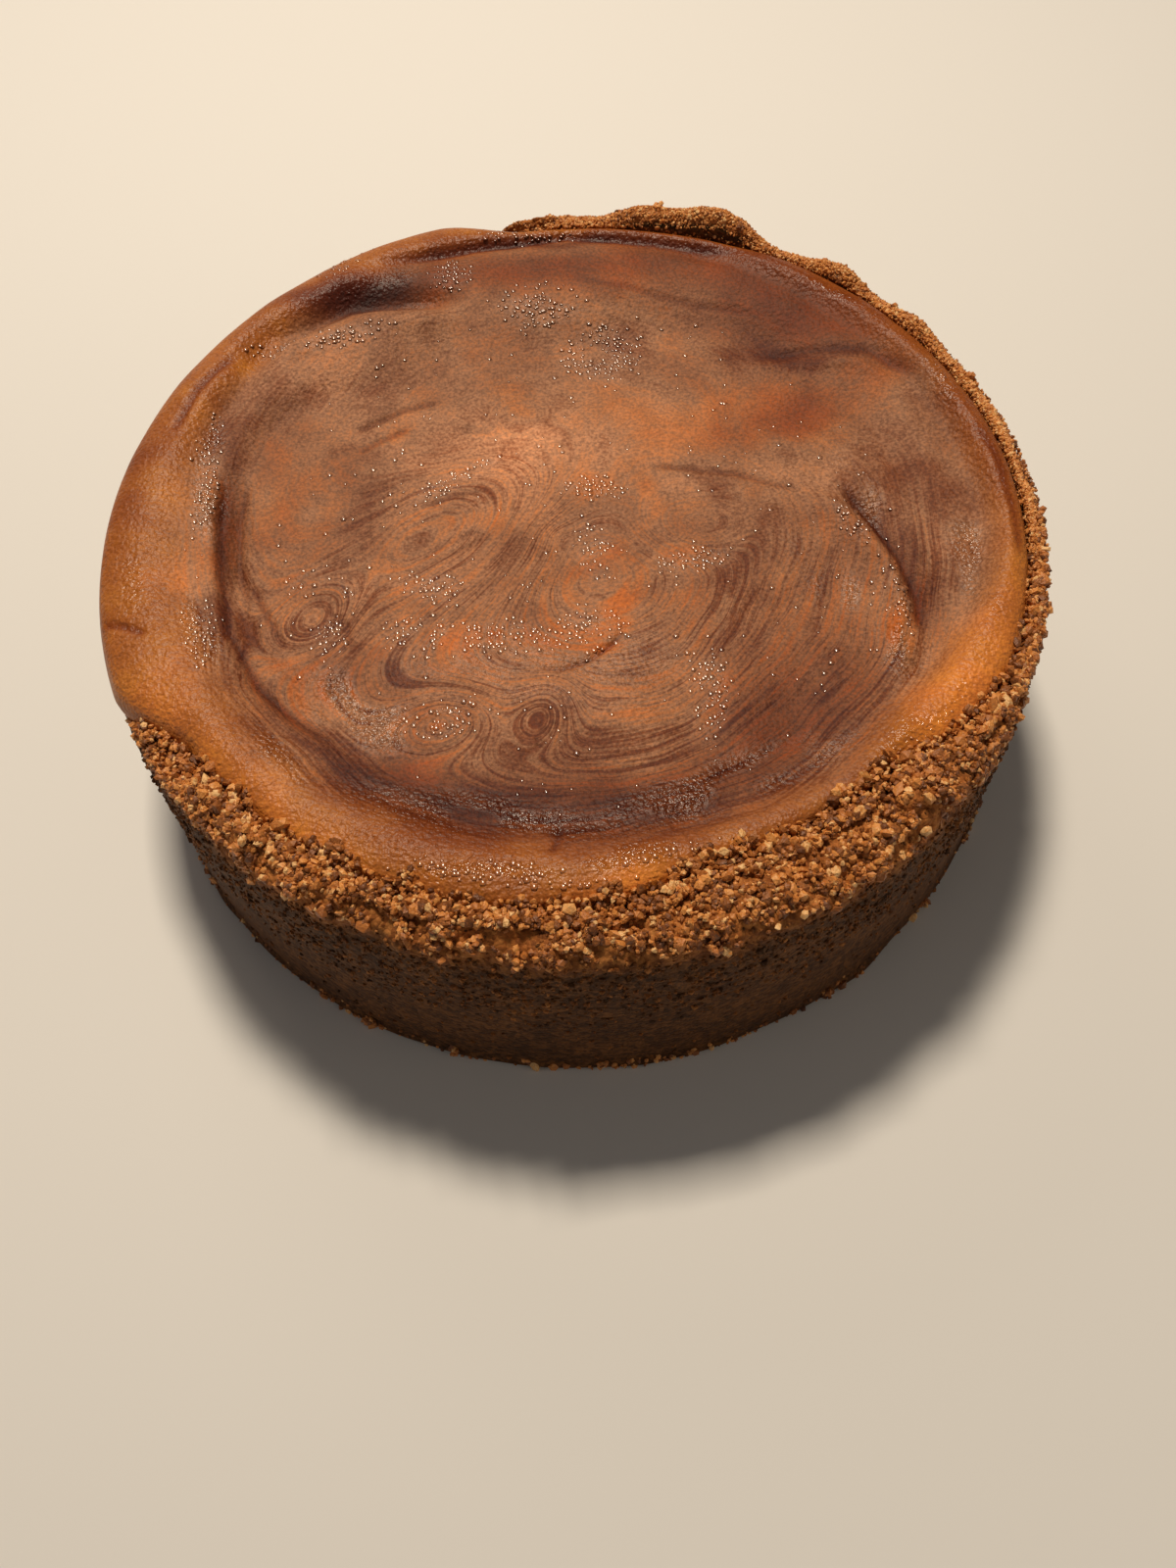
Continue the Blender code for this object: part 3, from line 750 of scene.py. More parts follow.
def top_edge(bearing):
    """The radius and height of the top's edge, and the width over which it rounds down there."""
    wall, out = crust_inner_radius(bearing) - FIT_GAP, lip_reach(bearing)
    inset, row_height, lip_inset, lip_height = SIDE_ROWS[0]
    radius = between(wall - inset, LIP_RADIUS - lip_inset, out)
    return radius, between(row_height, lip_height, out), between(SHOULDER, LIP_SHOULDER, out)


def top_height(x, y):
    """The height of the finished top: the solid's top with the fine creases, the dragged ridges
    and small swells, all rounded down to the edge as the square root of 1 - past²."""
    radius, bearing = np.hypot(x, y), bearing_of(x, y)
    edge, edge_height, shoulder = top_edge(bearing)
    past = np.clip((radius - edge + shoulder) / shoulder, 0.0, 1.0)
    keep = np.sqrt(1.0 - past**2)
    height = between(edge_height, filling_height(x, y), keep)
    for depth, half_width, route in FINE_CREASES:
        height = height - crease(x, y, depth, half_width, route) * keep
    ridges = STREAK_RELIEF * streakiness(x, y) * uneven(drag(x, y), 0.2 * x, 0.2 * y, STREAK_WIDTH)
    return height + keep * (ridges + GRAIN_RELIEF * uneven(x, y, 0.9, GRAIN_WIDTH))


# A square grid laid over the round top: each ring of cells of the square becomes a circle.
side = np.linspace(-1.0, 1.0, TOP_CELLS + 1)
b, a = np.meshgrid(side, side, indexing="ij")
wide = np.abs(a) >= np.abs(b)
share = np.maximum(np.abs(a), np.abs(b))
ratio_wide = b / np.where(wide & (a != 0), a, 1.0)
ratio_tall = a / np.where(~wide & (b != 0), b, 1.0)
turn_wide = 45.0 * ratio_wide + np.where(a < 0, 180.0, 0.0)
turn_tall = 90.0 - 45.0 * ratio_tall + np.where(b < 0, 180.0, 0.0)
turn = np.where(wide, turn_wide, turn_tall) % 360.0
x, y = place(share * top_edge(turn)[0], turn)
top_points = np.stack((x, y, top_height(x, y)), -1).reshape(-1, 3)
index = np.arange(len(top_points)).reshape(x.shape)
corners = (index[:-1, :-1], index[:-1, 1:], index[1:, 1:], index[1:, :-1])
top_faces = np.stack(corners, -1).reshape(-1, 4)
edge_ring = np.concatenate((index[0, :-1], index[:-1, -1], index[-1, :0:-1], index[:0:-1, 0]))

# From the top's edge its side goes down, out along the lip and back, and down the wall.
ring_x, ring_y, ring_z = top_points[edge_ring].T
ring_bearing = bearing_of(ring_x, ring_y) % 360.0
wall = crust_inner_radius(ring_bearing) - FIT_GAP
out = lip_reach(ring_bearing)
rows = [(np.hypot(ring_x, ring_y), ring_z)]
for inset, row_height, lip_inset, lip_height in SIDE_ROWS[1:]:
    row_radius = between(wall - inset, LIP_RADIUS - lip_inset, out)
    rows.append((row_radius, between(row_height, lip_height, out)))
flat = np.ones_like(wall)
cup_floor = CRUST_FLOOR + FIT_GAP
rows.append((wall, (CREST_UNDER_LIP + FIT_GAP) * flat))
rows.append((wall, (cup_floor + FLOOR_CORNER) * flat))
rows.append((wall - FLOOR_CORNER, cup_floor * flat))
rows.append((0 * flat, cup_floor * flat))
side_rows = refined(np.array(rows), SIDE_STEPS)[1:-1]
side_x, side_y = place(side_rows[:, 0], ring_bearing)
side_points = np.stack((side_x, side_y, side_rows[:, 1]), -1).reshape(-1, 3)
filling_points = np.concatenate((top_points, side_points, [(0, 0, cup_floor)]))
side_index = np.arange(len(side_points)).reshape(len(side_rows), -1) + len(top_points)
rings = np.concatenate(([edge_ring], side_index))
under_middle = pole_faces(rings[-1], len(filling_points) - 1)
filling = add_piece("baked_filling", filling_points, (top_faces, ring_faces(rings), under_middle))
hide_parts("filling")


def add_marbling(piece, x, y):
    """What the filling's material reads at each point: pools of caramel or chocolate, how
    streaked it is, how wet, how far out on the rim, the drag lines, and how light it is, from the
    oven's browning with painted shade and sheen."""
    radius, bearing = np.hypot(x, y), bearing_of(x, y)
    _, _, _, outer_foot, outer_width = read_row(bearing, RIM_STEPS)
    rim = ease((radius - outer_foot + 3 * MM * uneven(x, y, 0.2, 14 * MM)) / outer_width)
    spun = dragged(x, y)
    clouds = 0.30 * uneven(*spun, 0.15, 15 * MM) + 0.2 * uneven(*spun, 0.35, 7 * MM)
    add_values(piece, "pools", pooled(x, y) + clouds)
    add_values(piece, "marks", np.stack((streakiness(x, y), wetted(x, y), rim), -1))
    add_values(piece, "drag_lines", drag(x, y) / MM)
    # Painted shade in the fine creases, deeper ones darker.
    deep = sum(np.maximum(crease(x, y, *fine), 0.0) for fine in FINE_CREASES)
    light = np.exp(baked_and_shaded(x, y) - PAINTED_CREASE_SHADE * deep / MM)
    redder = np.minimum(light, 1.0)[:, None] ** DARKER_REDDER
    add_values(piece, "baking_and_shade", light[:, None] * redder)


add_marbling(filling, filling_points[:, 0], filling_points[:, 1])

# The tan at 0.46 is the light batter's own colour, paled further as a painted sheen.
MARBLED_COLOURS = (
    (0.0, (0.105, 0.020, 0.003)),
    (0.22, (0.170, 0.046, 0.012)),
    (0.46, (0.290, 0.130, 0.065)),
    (0.66, (0.365, 0.130, 0.044)),
    (1.0, (0.440, 0.112, 0.018)),
)
RIM_COLOURS = (
    (0.1, (0.16, 0.042, 0.012)),
    (0.45, (0.34, 0.102, 0.018)),
    (0.8, (0.46, 0.168, 0.023)),
)
ALONG_LINES = 36.0

filling_material, tree, surface = add_material("marbled_filling")
where = tree.nodes.new("ShaderNodeTexCoord").outputs["Object"]
places = add_node(tree, "ShaderNodeSeparateXYZ", {0: where}).outputs
marks = add_node(tree, "ShaderNodeSeparateXYZ", {0: stored(tree, "marks", "Vector")}).outputs
streaked, wet_mark, rim = marks["X"], marks["Y"], marks["Z"]
# Fine and broad streaks: noise that changes fast across the drag lines and slowly along them.
slow_x, slow_y = (maths(tree, "MULTIPLY", places[axis], ALONG_LINES) for axis in "XY")
lines = {"X": stored(tree, "drag_lines"), "Y": slow_x, "Z": slow_y}
streak_place = add_node(tree, "ShaderNodeCombineXYZ", lines).outputs[0]
fine_streaks = noise(tree, streak_place, 1.15, 3.0, 0.7, 1.9)
broad_streaks = noise(tree, streak_place, 0.3, 2.0, 0.6)
velvet = noise(tree, where, 1250.0, 2.0, 0.6)
cloud = noise(tree, where, 75.0, 4.0, 0.6)
streaks = weighed_sum(tree, (fine_streaks, 0.5, 1.75), (broad_streaks, 0.5, 0.8))
streaks = maths(tree, "MULTIPLY", streaks, streaked)
mottle = weighed_sum(tree, (velvet, 0.5, 0.35), (cloud, 0.5, 0.6))
pool_part = (stored(tree, "pools"), 0.0, 0.36)
level = weighed_sum(tree, (streaks, 0.0, 1.0), (mottle, 0.0, 1.0), pool_part)
marbled = colour_ramp(tree, maths(tree, "ADD", level, 0.46), MARBLED_COLOURS)
rim_level = maths(tree, "ADD", maths(tree, "MULTIPLY", mottle, 1.1), 0.5)
coloured = mixed(tree, rim, marbled, colour_ramp(tree, rim_level, RIM_COLOURS))
# The speckle of the skin: each grain lighter or darker than the mixed batter, less on the rim.
speckle = map_range(tree, velvet, 0.78, 1.24, 0.36, 0.64)
calm = mixed(tree, maths(tree, "MULTIPLY", rim, 0.6), speckle, 1.0, "FLOAT")
shaded = add_node(tree, "ShaderNodeVectorMath", {0: coloured, "Scale": calm}, operation="SCALE")
# The colour is scaled by the stored browning with its painted shade and sheen.
tints = {0: shaded.outputs[0], 1: stored(tree, "baking_and_shade", "Vector")}
darkened = add_node(tree, "ShaderNodeVectorMath", tints, operation="MULTIPLY")
# The skin: a velvety grain, deeper where it is wet, and ridges along the streaks.
skin = noise(tree, where, 950.0, 1.5)
grain = weighed_sum(tree, (skin, 0.5, 0.50), (velvet, 0.5, 0.06))
wet = maths(tree, "MAXIMUM", wet_mark, maths(tree, "MULTIPLY", rim, 0.45))
grain = maths(tree, "MULTIPLY", grain, map_range(tree, wet, 1.0, 1.9))
skin_relief = maths(tree, "ADD", grain, maths(tree, "MULTIPLY", streaks, 0.10))
filling_look = {
    "Base Color": darkened.outputs[0],
    "Normal": bump_of(tree, skin_relief, 1.0, 0.8 * MM),
    "Roughness": map_range(tree, wet, 0.68, 0.12),
    "Specular IOR Level": 0.30,
}
feed(tree, surface, filling_look)
filling.data.materials.append(filling_material)

# Blisters. Small bubbles in the batter set as glossy beads on the skin, in rows and bunches.
# Each is a low dome, a flattened ball with its middle in the skin, wetter than the skin round it.

GOLDEN_RATIO = (1 + math.sqrt(5)) / 2
BALL = np.array([(s * 1, t * GOLDEN_RATIO, 0) for s in (-1, 1) for t in (-1, 1)])
BALL = np.concatenate([np.roll(BALL, shift, axis=1) for shift in range(3)])
BALL = BALL / math.hypot(1, GOLDEN_RATIO)
CORNERS = len(BALL)


def ball_faces(count):
    """The faces of many twelve-cornered balls: on each, every three corners one edge apart."""
    edge = np.linalg.norm(BALL[:, None] - BALL[None], axis=-1)
    near = (edge > 0.1) & (edge < 1.1)
    threes = [three for three in np.ndindex((CORNERS,) * 3) if three[0] < three[1] < three[2]]
    found = [(i, j, k) for i, j, k in threes if near[i, j] and near[j, k] and near[i, k]]
    outward = [np.linalg.det(BALL[list(three)]) > 0 for three in found]
    faces = [(i, j, k) if right else (i, k, j) for (i, j, k), right in zip(found, outward)]
    faces = np.array(faces)
    return (faces[None] + CORNERS * np.arange(count)[:, None, None]).reshape(-1, 3)


draw = np.random.default_rng(20)


def sized(count, middle, spread, smallest, largest):
    """Random radii: the middle one × e^(spread × a normal draw), held between two limits."""
    return np.clip(middle * np.exp(draw.normal(0.0, spread, count)), smallest, largest)


BLISTER_SPACING = 1.3 * MM
BLISTER_SIZES = (0.68 * MM, 0.28, 0.25 * MM, 1.0 * MM)
BLISTER_FLATNESS = 0.27
BLISTER_SINK = 0.08
BLISTER_EDGE = 2.5 * MM
LONE_BLISTERS = 0.02
LONE_WITHIN = 80 * MM
WET_BEAD = {
    "Roughness": 0.25,
    "Coat Weight": 1.0,
    "Coat Roughness": 0.15,
    "Specular IOR Level": 0.9,
}


def add_blisters():
    """One bead at most in each cell of a square grid, at a random place in it, kept where the
    beaded places are. Its points are its place + each of the ball's corners × its radius."""
    cells = np.arange(-LIP_RADIUS, LIP_RADIUS, BLISTER_SPACING)
    grid = np.meshgrid(cells, cells)
    x, y = (corner + draw.uniform(0.0, BLISTER_SPACING, corner.shape) for corner in grid)
    lone = LONE_BLISTERS * (np.hypot(x, y) < LONE_WITHIN)
    kept = draw.uniform(0, 1, x.shape) < beaded(x, y) * clumped(x, y) + lone
    kept &= np.hypot(x, y) < top_edge(bearing_of(x, y))[0] - BLISTER_EDGE
    x, y = x[kept], y[kept]
    count = len(x)
    radii = sized(count, *BLISTER_SIZES)
    shapes = BALL[None] * draw.uniform(0.96, 1.04, size=(count, CORNERS, 1))
    shapes = shapes * (1.0, 1.0, BLISTER_FLATNESS)
    centres = np.stack((x, y, top_height(x, y) - BLISTER_SINK * radii), -1)
    points = (centres[:, None] + shapes * radii[:, None, None]).reshape(-1, 3)
    piece = add_piece("skin_blisters", points, (ball_faces(count),))
    add_marbling(piece, np.repeat(x, CORNERS), np.repeat(y, CORNERS))
    return piece


blisters = add_blisters()
bead_material = filling_material.copy()
bead_material.name = "glossy_beads"
tree = bead_material.node_tree
surface = tree.nodes["Principled BSDF"]
for socket in ("Roughness", "Normal"):
    tree.links.remove(surface.inputs[socket].links[0])
feed(tree, surface, WET_BEAD)
blisters.data.materials.append(bead_material)

# Clusters of crumbs. Where the crest tore and at the foot, lumps of the same biscuit stayed
# stuck together. Each is the cluster that the crust's solid has there, packed round its core
# with small turned boulders of the golden toasted crumb.

CREST_CLUSTERS = 46
FOOT_CLUSTERS = 14
LARGE_CLUSTER = 3.4 * MM
SMALL_CLUSTER = 1.9 * MM
CLUSTER_SEED = 7
CLUSTER_SINK = 0.1
GOLDEN_SHARE = 0.618034
FRONT_SPAN = 55
FOOT_SPAN = 100
GRAINS_A_CLUSTER = 34
UNUSED_DRAWS = 15  # the solid's clusters draw these for their shapes
LOWEST_CRUMB = 0.05 * MM
TOASTED_COLOURS = (
    (0.05, (0.14, 0.040, 0.007)),
    (0.5, (0.46, 0.150, 0.027)),
    (0.85, (0.69, 0.28, 0.066)),
    (1.0, (0.80, 0.48, 0.20)),
)

crumb_material, tree, surface = add_material("toasted_crumbs")
grain = add_node(tree, "ShaderNodeGroup", {"Grain Scale": 1800.0}, node_tree=crumb_grain)
tone = weighed_sum(tree, (grain.outputs["Tone"], 0.6, 0.5), (stored(tree, "shade"), 0.0, 1.0))
crumb_look = {
    "Base Color": colour_ramp(tree, tone, TOASTED_COLOURS),
    "Normal": bump_of(tree, grain.outputs["Relief"], 0.5, 0.3 * MM),
    "Roughness": 0.5,
    "Specular IOR Level": 0.5,
}
feed(tree, surface, crumb_look)


def add_crumbs(name, centres, radii, darkest=0.0, material=crumb_material):
    """Many crumbs in one piece: centre + turned ball × each corner's own length × radius."""
    count = len(centres)
    turns = draw.normal(size=(count, 4))
    w, i, j, k = (turns / np.linalg.norm(turns, axis=1, keepdims=True)).T
    matrix = np.array(
        [
            [1 - 2 * (j * j + k * k), 2 * (i * j - k * w), 2 * (i * k + j * w)],
            [2 * (i * j + k * w), 1 - 2 * (i * i + k * k), 2 * (j * k - i * w)],
            [2 * (i * k - j * w), 2 * (j * k + i * w), 1 - 2 * (i * i + j * j)],
        ]
    ).transpose(2, 0, 1)
    squash = draw.uniform(0.6, 1.2, size=(count, 1, 3))
    shapes = BALL[None] * draw.uniform(0.62, 1.2, size=(count, CORNERS, 1)) * squash
    turned = np.einsum("nij,nkj->nki", matrix, shapes)
    points = (centres[:, None] + turned * radii[:, None, None]).reshape(-1, 3)
    points[:, 2] = np.maximum(points[:, 2], LOWEST_CRUMB)
    piece = add_piece(name, points, (ball_faces(count),), smooth=False)
    add_values(piece, "shade", np.repeat(draw.uniform(darkest, 1.0, count), CORNERS))
    piece.data.materials.append(material)
    return piece


def cluster_places():
    """Centre and radius of each cluster: bearings a golden share apart, most at the front."""
    order = random.Random(CLUSTER_SEED)
    bare_span = 180 - LIP_HALF_SPAN - LIP_TO_CREST - CREST_FADE
    bare_centre = (LIP_CENTRE + 180) % 360
    places = []
    for index in range(CREST_CLUSTERS + FOOT_CLUSTERS):
        turn = 2.0 * ((index % CREST_CLUSTERS * GOLDEN_SHARE) % 1.0) - 1.0
        if index < CREST_CLUSTERS:
            bearing = bare_centre + bare_span * turn
            if apart(bearing, FRONT_BEARING) > FRONT_SPAN and index % 2:
                bearing = FRONT_BEARING + FRONT_SPAN * turn
            radius = between(LARGE_CLUSTER, SMALL_CLUSTER, index / CREST_CLUSTERS)
            radius = float(torn(bearing)) * radius
            inner = crust_inner_radius(bearing)
            innermost = inner + FIT_GAP + 1.2 * radius
            outward = between(innermost, TIN_RADIUS - 0.5 * radius, order.uniform(0.0, 1.0))
            out, height = crest_point(bearing, (outward - inner) / (TIN_RADIUS - inner))
            height = height - CLUSTER_SINK * radius
        else:
            bearing = bare_centre + FOOT_SPAN * turn
            radius = SMALL_CLUSTER * order.uniform(0.7, 1.0)
            out, height = TIN_RADIUS + SLUMP, 1.25 * radius
        places.append((*place(float(out), bearing), float(height), radius))
        for _ in range(UNUSED_DRAWS):
            order.random()
    return np.array(places)


clusters = cluster_places()
directions = draw.normal(size=(len(clusters), GRAINS_A_CLUSTER, 3))
directions /= np.linalg.norm(directions, axis=-1, keepdims=True)
outness = draw.uniform(0.25, 0.85, size=(*directions.shape[:2], 1))
grain_centres = clusters[:, None, :3] + directions * clusters[:, None, 3:] * outness
grain_centres = grain_centres.reshape(-1, 3)
grain_radii = draw.uniform(0.45, 1.15, len(grain_centres)) * MM
add_crumbs("crumb_clusters", grain_centres, grain_radii)

# Crumbs bedded in the crust. They are single broken grains of the same biscuit, thick over the
# torn crest, finer and darker down the wall, and a few at the foot. Each sits half sunk at a
# seeded place on the crust's own surface.

GRAIN_LIMITS = (0.25 * MM, 1.9 * MM)
CREST_GRAINS = 7600
CREST_GRAIN_SIZES = (0.72 * MM, 0.38, *GRAIN_LIMITS)
WALL_GRAINS = 9200
WALL_GRAIN_SIZES = (0.52 * MM, 0.3, *GRAIN_LIMITS)
FOOT_GRAINS = 700
FOOT_GRAIN_SIZES = (0.7 * MM, 0.4, *GRAIN_LIMITS)
WALL_DEPTH = 8 * MM
quads = crust_points[wall_faces]
middles = quads.mean(axis=1)
across = np.cross(quads[:, 2] - quads[:, 0], quads[:, 3] - quads[:, 1])
areas = np.linalg.norm(across, axis=1) / 2
quad_crumbly = crumbly_points[wall_faces].mean(axis=1)


def scattered(count, weight, sizes):
    """Places and radii of crumbs on the crust: each face's chance is its area × weight."""
    chance = areas * weight
    chosen = draw.choice(len(middles), size=count, p=chance / chance.sum())
    mix = draw.dirichlet((1, 1, 1, 1), size=count)
    places = np.einsum("nk,nkj->nj", mix, quads[chosen])
    return places, sized(count, *sizes) * torn(bearing_of(*places[:, :2].T))


bunched = ease((0.75 - crevices(*middles.T, CLUSTER_SIZE)) / 0.5)
crest_weight = ease((quad_crumbly - 0.7) / 0.3) * bunched
add_crumbs("crest_crumbs", *scattered(CREST_GRAINS, crest_weight, CREST_GRAIN_SIZES))
middle_bearing = bearing_of(*middles[:, :2].T)
upper = ease((middles[:, 2] - 24 * MM) / (26 * MM)) * (1.0 - under_lip(middle_bearing, 1.0))
on_wall = np.hypot(middles[:, 0], middles[:, 1]) > TIN_RADIUS - WALL_DEPTH
wall_weight = (0.06 + upper) * on_wall * (1.0 - 0.7 * ease((quad_crumbly - 0.6) / 0.3))
wall_grains = scattered(WALL_GRAINS, wall_weight, WALL_GRAIN_SIZES)
wall_crumbs = add_crumbs("wall_crumbs", *wall_grains, material=crust_material)
foot_weight = ease((5 * MM - middles[:, 2]) / (4 * MM)) * (middles[:, 2] > 0.4 * MM)
foot_weight = foot_weight * (0.15 + ease(uneven(*middles[:, :2].T, 0.3, 17 * MM)))
add_crumbs("foot_crumbs", *scattered(FOOT_GRAINS, foot_weight, FOOT_GRAIN_SIZES))

# Crumbs in the seam. Loose crumbs heaped up between crust and filling when the top edge broke,
# and spilled over the filling's edge, most of them at the front right. They bridge the seam,
# and fill the corner where the filling's lip ends at the left front.

# Bearing, and how far in from the crust they reach.
SPILL = (
    (0, 0.8), (25, 1.2), (70, 0.5), (212, 0.4), (222, 2.4), (234, 3.6), (246, 4.2), (253, 2.6),
    (262, 2.2), (272, 2.8), (281, 2.4), (288, 4.2), (300, 3), (312, 3.8), (321, 3.2), (340, 1.4),
    (360, 0.9),
)
SPILL_GRAINS = 8400
SPILL_HEAP = 2.2 * MM
SPILL_SIZES = (0.75 * MM, 0.35, 0.3 * MM, 1.7 * MM)
SEAM_WIDTH = 4.2 * MM
SHOULDER_REACH = 2.2 * MM
LIP_END_GRAINS = 1500
LIP_END = (201.0, 224.0)
LIP_END_TOP = 65.0 * MM
LIP_END_RISE = 8.0
LIP_END_EDGE = 0.8 * MM


def crest_height(bearing, radius):
    """The height of the crust's crest at a place."""
    inner = crust_inner_radius(bearing)
    return crest_point(bearing, np.clip((radius - inner) / (TIN_RADIUS - inner), 0.0, 1.0))[1]


bare_bearings = (LIP_CENTRE + LIP_HALF_SPAN, LIP_CENTRE + 360 - LIP_HALF_SPAN)
spill_bearing = draw.uniform(*bare_bearings, SPILL_GRAINS)
spill_inner = crust_inner_radius(spill_bearing)
reach = read_row(spill_bearing, SPILL)[0]
reach = reach * (1.0 + 0.7 * uneven(*place(0.1, spill_bearing), 0.6, 5 * MM))
reach = np.maximum(0.4 * MM, reach)
depth = draw.beta(1.1, 1.6, SPILL_GRAINS)
spill_radius = spill_inner - depth * reach + (1.0 - depth) * SEAM_WIDTH
on_filling = top_height(*place(spill_radius, spill_bearing))
seam_edge = top_edge(spill_bearing)[0]
in_seam = spill_radius > seam_edge
in_groove = np.minimum(crest_height(spill_bearing, spill_radius), on_filling)
low = np.where(in_seam, in_groove, on_filling)
# The bridge is a straight slope from the filling's shoulder to the crest of the crust.
near_radius, far_radius = seam_edge - SHOULDER_REACH, spill_inner + SEAM_WIDTH
shoulder_height = top_height(*place(near_radius, spill_bearing))
past = np.clip((spill_radius - near_radius) / (far_radius - near_radius), 0.0, 1.0)
bridge = between(shoulder_height, crest_height(spill_bearing, far_radius), past)
high = np.where(in_seam, np.maximum(on_filling, bridge), on_filling)
radii = sized(SPILL_GRAINS, *SPILL_SIZES) * torn(spill_bearing)
heap = SPILL_HEAP * np.clip(reach / (3 * MM), 0.25, 1.0) * (1.0 - depth) ** 1.5
rise = high - low + heap * (1.0 - 0.6 * in_seam)
spill_z = low + 0.3 * radii + rise * np.sqrt(draw.uniform(0.0, 1.0, SPILL_GRAINS))
spill = np.stack((*place(spill_radius, spill_bearing), spill_z), -1)

end_bearing = draw.uniform(*LIP_END, LIP_END_GRAINS)
end_inner = crust_inner_radius(end_bearing)
end_span = TIN_RADIUS - LIP_END_EDGE - end_inner
end_radius = end_inner + end_span * draw.uniform(0.0, 1.0, LIP_END_GRAINS)
end_low = crest_height(end_bearing, end_radius)
outward = ease((end_radius - end_inner) / (TIN_RADIUS - end_inner) * 2.0 - 1.0)
end_rise = np.maximum(LIP_END_TOP - end_low, 0.0) * (1.0 - 0.35 * outward)
end_rise = end_rise * ease((end_bearing - LIP_END[0]) / LIP_END_RISE)
end_z = end_low + end_rise * draw.uniform(0.0, 1.0, LIP_END_GRAINS)
end_radii = draw.uniform(0.45, 1.25, LIP_END_GRAINS) * MM
lip_end = np.stack((*place(end_radius, end_bearing), end_z), -1)
add_crumbs("edge_crumbs", np.concatenate((spill, lip_end)), np.concatenate((radii, end_radii)))

# Sandy crumbs. The crust's back right baked smoother: fine sandy crumbs slope up from the
# filling's rim to the broken pieces that stand behind it.

SANDY_GRAINS = 5200
SANDY_SIZES = (0.42 * MM, 0.3, 0.22 * MM, 0.8 * MM)
SANDY_BEARINGS = (-8.0, 96.0)
SANDY_SHARE = 0.5
# The sandy crumbs' shades start at this share, so they are lighter than the others: partly paler
# fine crumb, partly painted light on the back crust, which the lamps behind leave in shade.
SANDY_DARKEST = 0.45
PEAK_SHARE = 0.42
RIM_SHOULDER = 66.4 * MM

sandy_bearing = draw.uniform(*SANDY_BEARINGS, SANDY_GRAINS)
sandy_inner = crust_inner_radius(sandy_bearing)
thickness = TIN_RADIUS - sandy_inner
sandy_share = draw.uniform(0.0, SANDY_SHARE, SANDY_GRAINS)
sandy_radius = sandy_inner + sandy_share * thickness
sandy_low = crest_height(sandy_bearing, sandy_radius)
peak = crest_height(sandy_bearing, sandy_inner + PEAK_SHARE * thickness)
slope = between(RIM_SHOULDER, peak, sandy_share / SANDY_SHARE)
sandy_rise = np.maximum(slope, sandy_low) - sandy_low
sandy_z = sandy_low + sandy_rise * np.sqrt(draw.uniform(0.0, 1.0, SANDY_GRAINS))
sandy_radii = sized(SANDY_GRAINS, *SANDY_SIZES)
sandy_places = np.stack((*place(sandy_radius, sandy_bearing), sandy_z), -1)
add_crumbs("sandy_crumbs", sandy_places, sandy_radii, SANDY_DARKEST)

# The wall's own crumbs take the wall's material, each one opened by its own random share.
WALL_OPENED = (0.25, 0.8)
add_values(wall_crumbs, "crumbly", np.repeat(draw.uniform(*WALL_OPENED, WALL_GRAINS), CORNERS))

# The floor and the light. A plain pale floor, one small warm lamp high behind the cake as the
# main light, and large soft ones that fill from the back and from both sides.

FLOOR_REACH = 3
FLOOR_COLOUR = (0.74, 0.72, 0.70, 1.0)
ROOM_COLOUR = (1.0, 0.95, 0.90, 1.0)
floor_signs = ((-1, -1), (1, -1), (1, 1), (-1, 1))
floor_corners = [(s * FLOOR_REACH, t * FLOOR_REACH, 0) for s, t in floor_signs]
floor_mesh = bpy.data.meshes.new("floor")
floor_mesh.from_pydata(floor_corners, [], [(0, 1, 2, 3)])
floor = bpy.data.objects.new("floor", floor_mesh)
bpy.context.scene.collection.objects.link(floor)
floor_material, tree, surface = add_material("pale_floor")
feed(tree, surface, {"Base Color": FLOOR_COLOUR, "Roughness": 0.7})
floor.data.materials.append(floor_material)
floor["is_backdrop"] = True


def turned_to(place_at, right, up, forward):
    """The matrix that puts a lamp or camera at a place, looking forward."""
    turn = Matrix(np.stack((right, up, -forward), -1).tolist()).to_4x4()
    return Matrix.Translation(place_at) @ turn


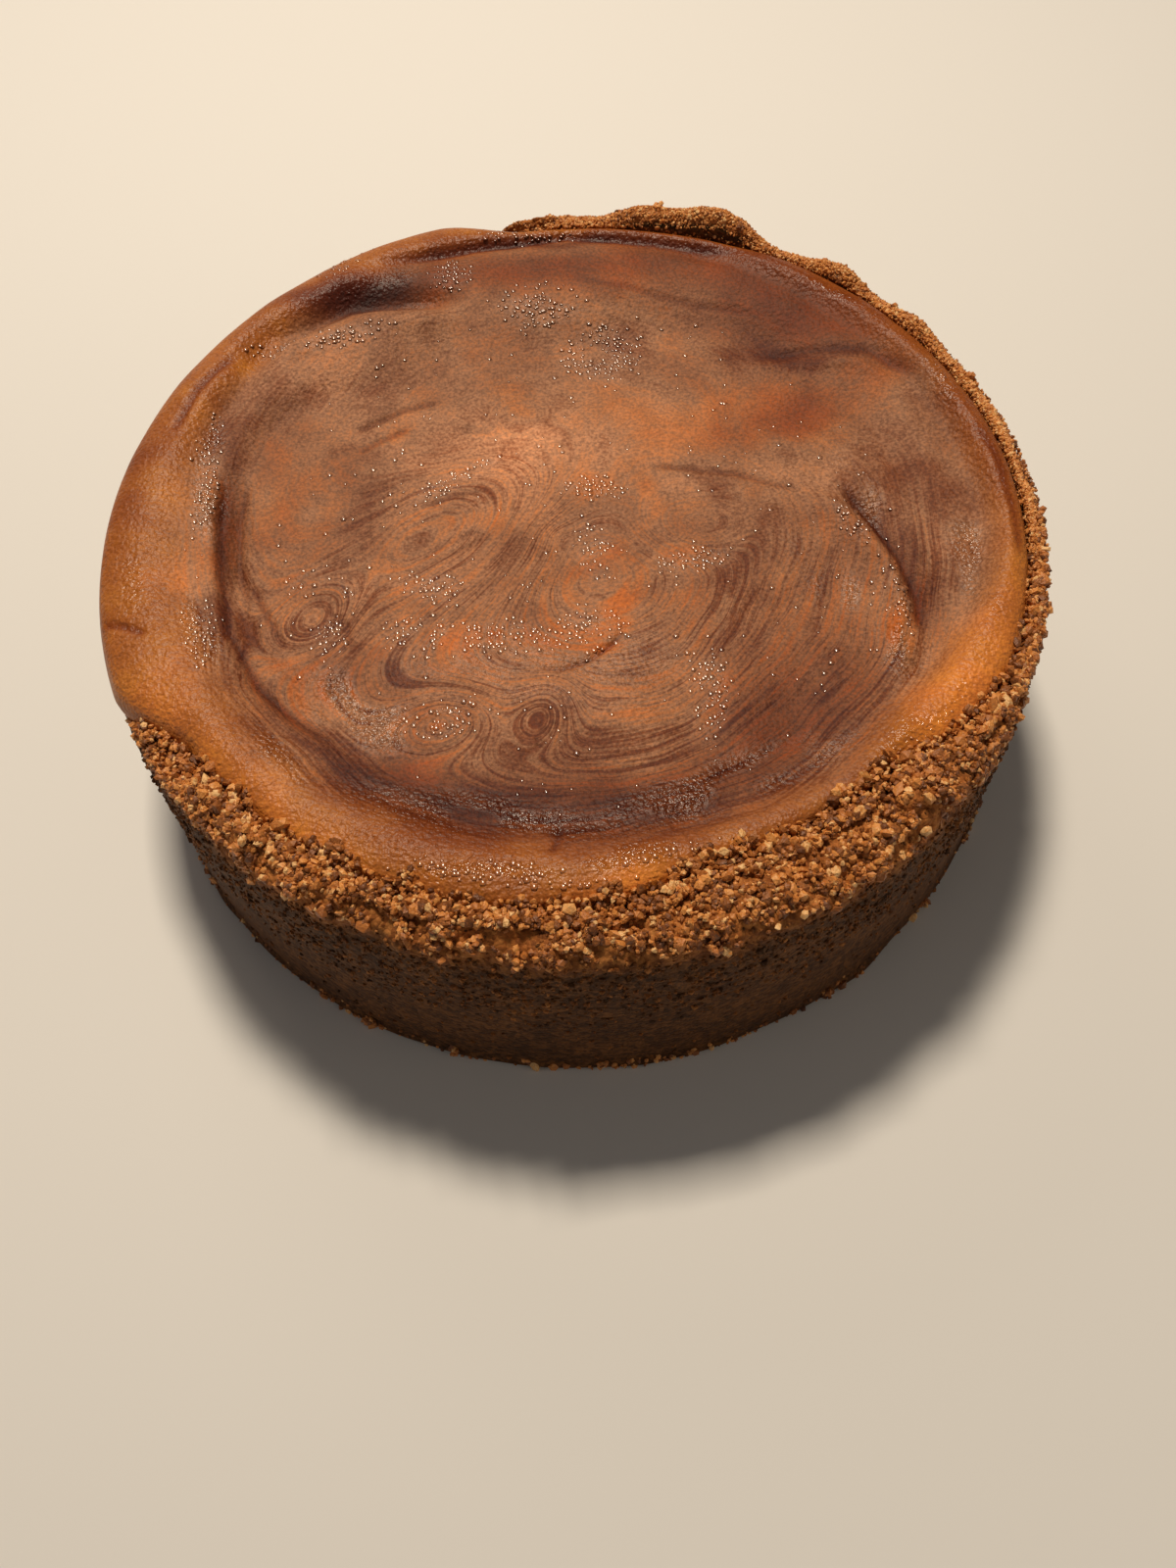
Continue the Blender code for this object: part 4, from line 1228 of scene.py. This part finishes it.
def add_lamp(name, place_at, aim_height, size, power, colour):
    """A square lamp at a place, facing a point over the middle of the floor."""
    lamp = bpy.data.lights.new(name, "AREA")
    lamp.size, lamp.energy, lamp.color = size, power, colour
    holder = bpy.data.objects.new(name, lamp)
    forward = np.array((0.0, 0.0, aim_height)) - np.array(place_at)
    forward /= np.linalg.norm(forward)
    right = np.cross(forward, (0, 0, 1))
    right /= np.linalg.norm(right)
    holder.matrix_world = turned_to(place_at, right, np.cross(right, forward), forward)
    bpy.context.scene.collection.objects.link(holder)


add_lamp("ceiling_lamp", (-0.10, 0.46, 1.16), 0.06, 0.20, 14.5, (1.0, 0.87, 0.69))
add_lamp("back_lamp", (-0.45, 1.00, 0.75), 0.06, 0.55, 1.7, (1.0, 0.86, 0.70))
add_lamp("right_fill", (1.15, -0.55, 0.45), 0.03, 0.9, 2.1, (1.0, 0.86, 0.66))
add_lamp("left_fill", (-1.15, -0.55, 0.35), 0.03, 0.9, 1.3, (1.0, 0.90, 0.82))
world = bpy.data.worlds.new("room")
world.use_nodes = True
background = world.node_tree.nodes["Background"]
feed(world.node_tree, background, {"Color": ROOM_COLOUR, "Strength": 0.08})
bpy.context.scene.world = world
bpy.context.scene.view_settings.view_transform = "Standard"

# The camera. It looks steeply down at the cake from just in front of it, close and a little
# tilted, as the photograph does.

PITCH = math.radians(61.3)
ROLL = math.radians(-2.4)
CAMERA_PLACE = (1.48 * MM, -205.14 * MM, 306.58 * MM)
PICTURE_HEIGHT = 1600
FOCAL_PIXELS = 1300
SENSOR = 36.0
forward = np.array((0.0, math.cos(PITCH), -math.sin(PITCH)))
level, upright = np.array((1.0, 0.0, 0.0)), np.array((0.0, math.sin(PITCH), math.cos(PITCH)))
right = math.cos(ROLL) * level + math.sin(ROLL) * upright
up = math.cos(ROLL) * upright - math.sin(ROLL) * level
lens = bpy.data.cameras.new("camera")
lens.sensor_fit = "VERTICAL"
lens.sensor_height = SENSOR
lens.lens = SENSOR * FOCAL_PIXELS / PICTURE_HEIGHT
lens.clip_start = 10 * MM
camera = bpy.data.objects.new("camera", lens)
camera.matrix_world = turned_to(CAMERA_PLACE, right, up, forward)
bpy.context.scene.collection.objects.link(camera)
bpy.context.scene.camera = camera

boxes = {"cad": cad_box, "visual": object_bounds()}
boxes = {name: [list(corner) for corner in box] for name, box in boxes.items()}
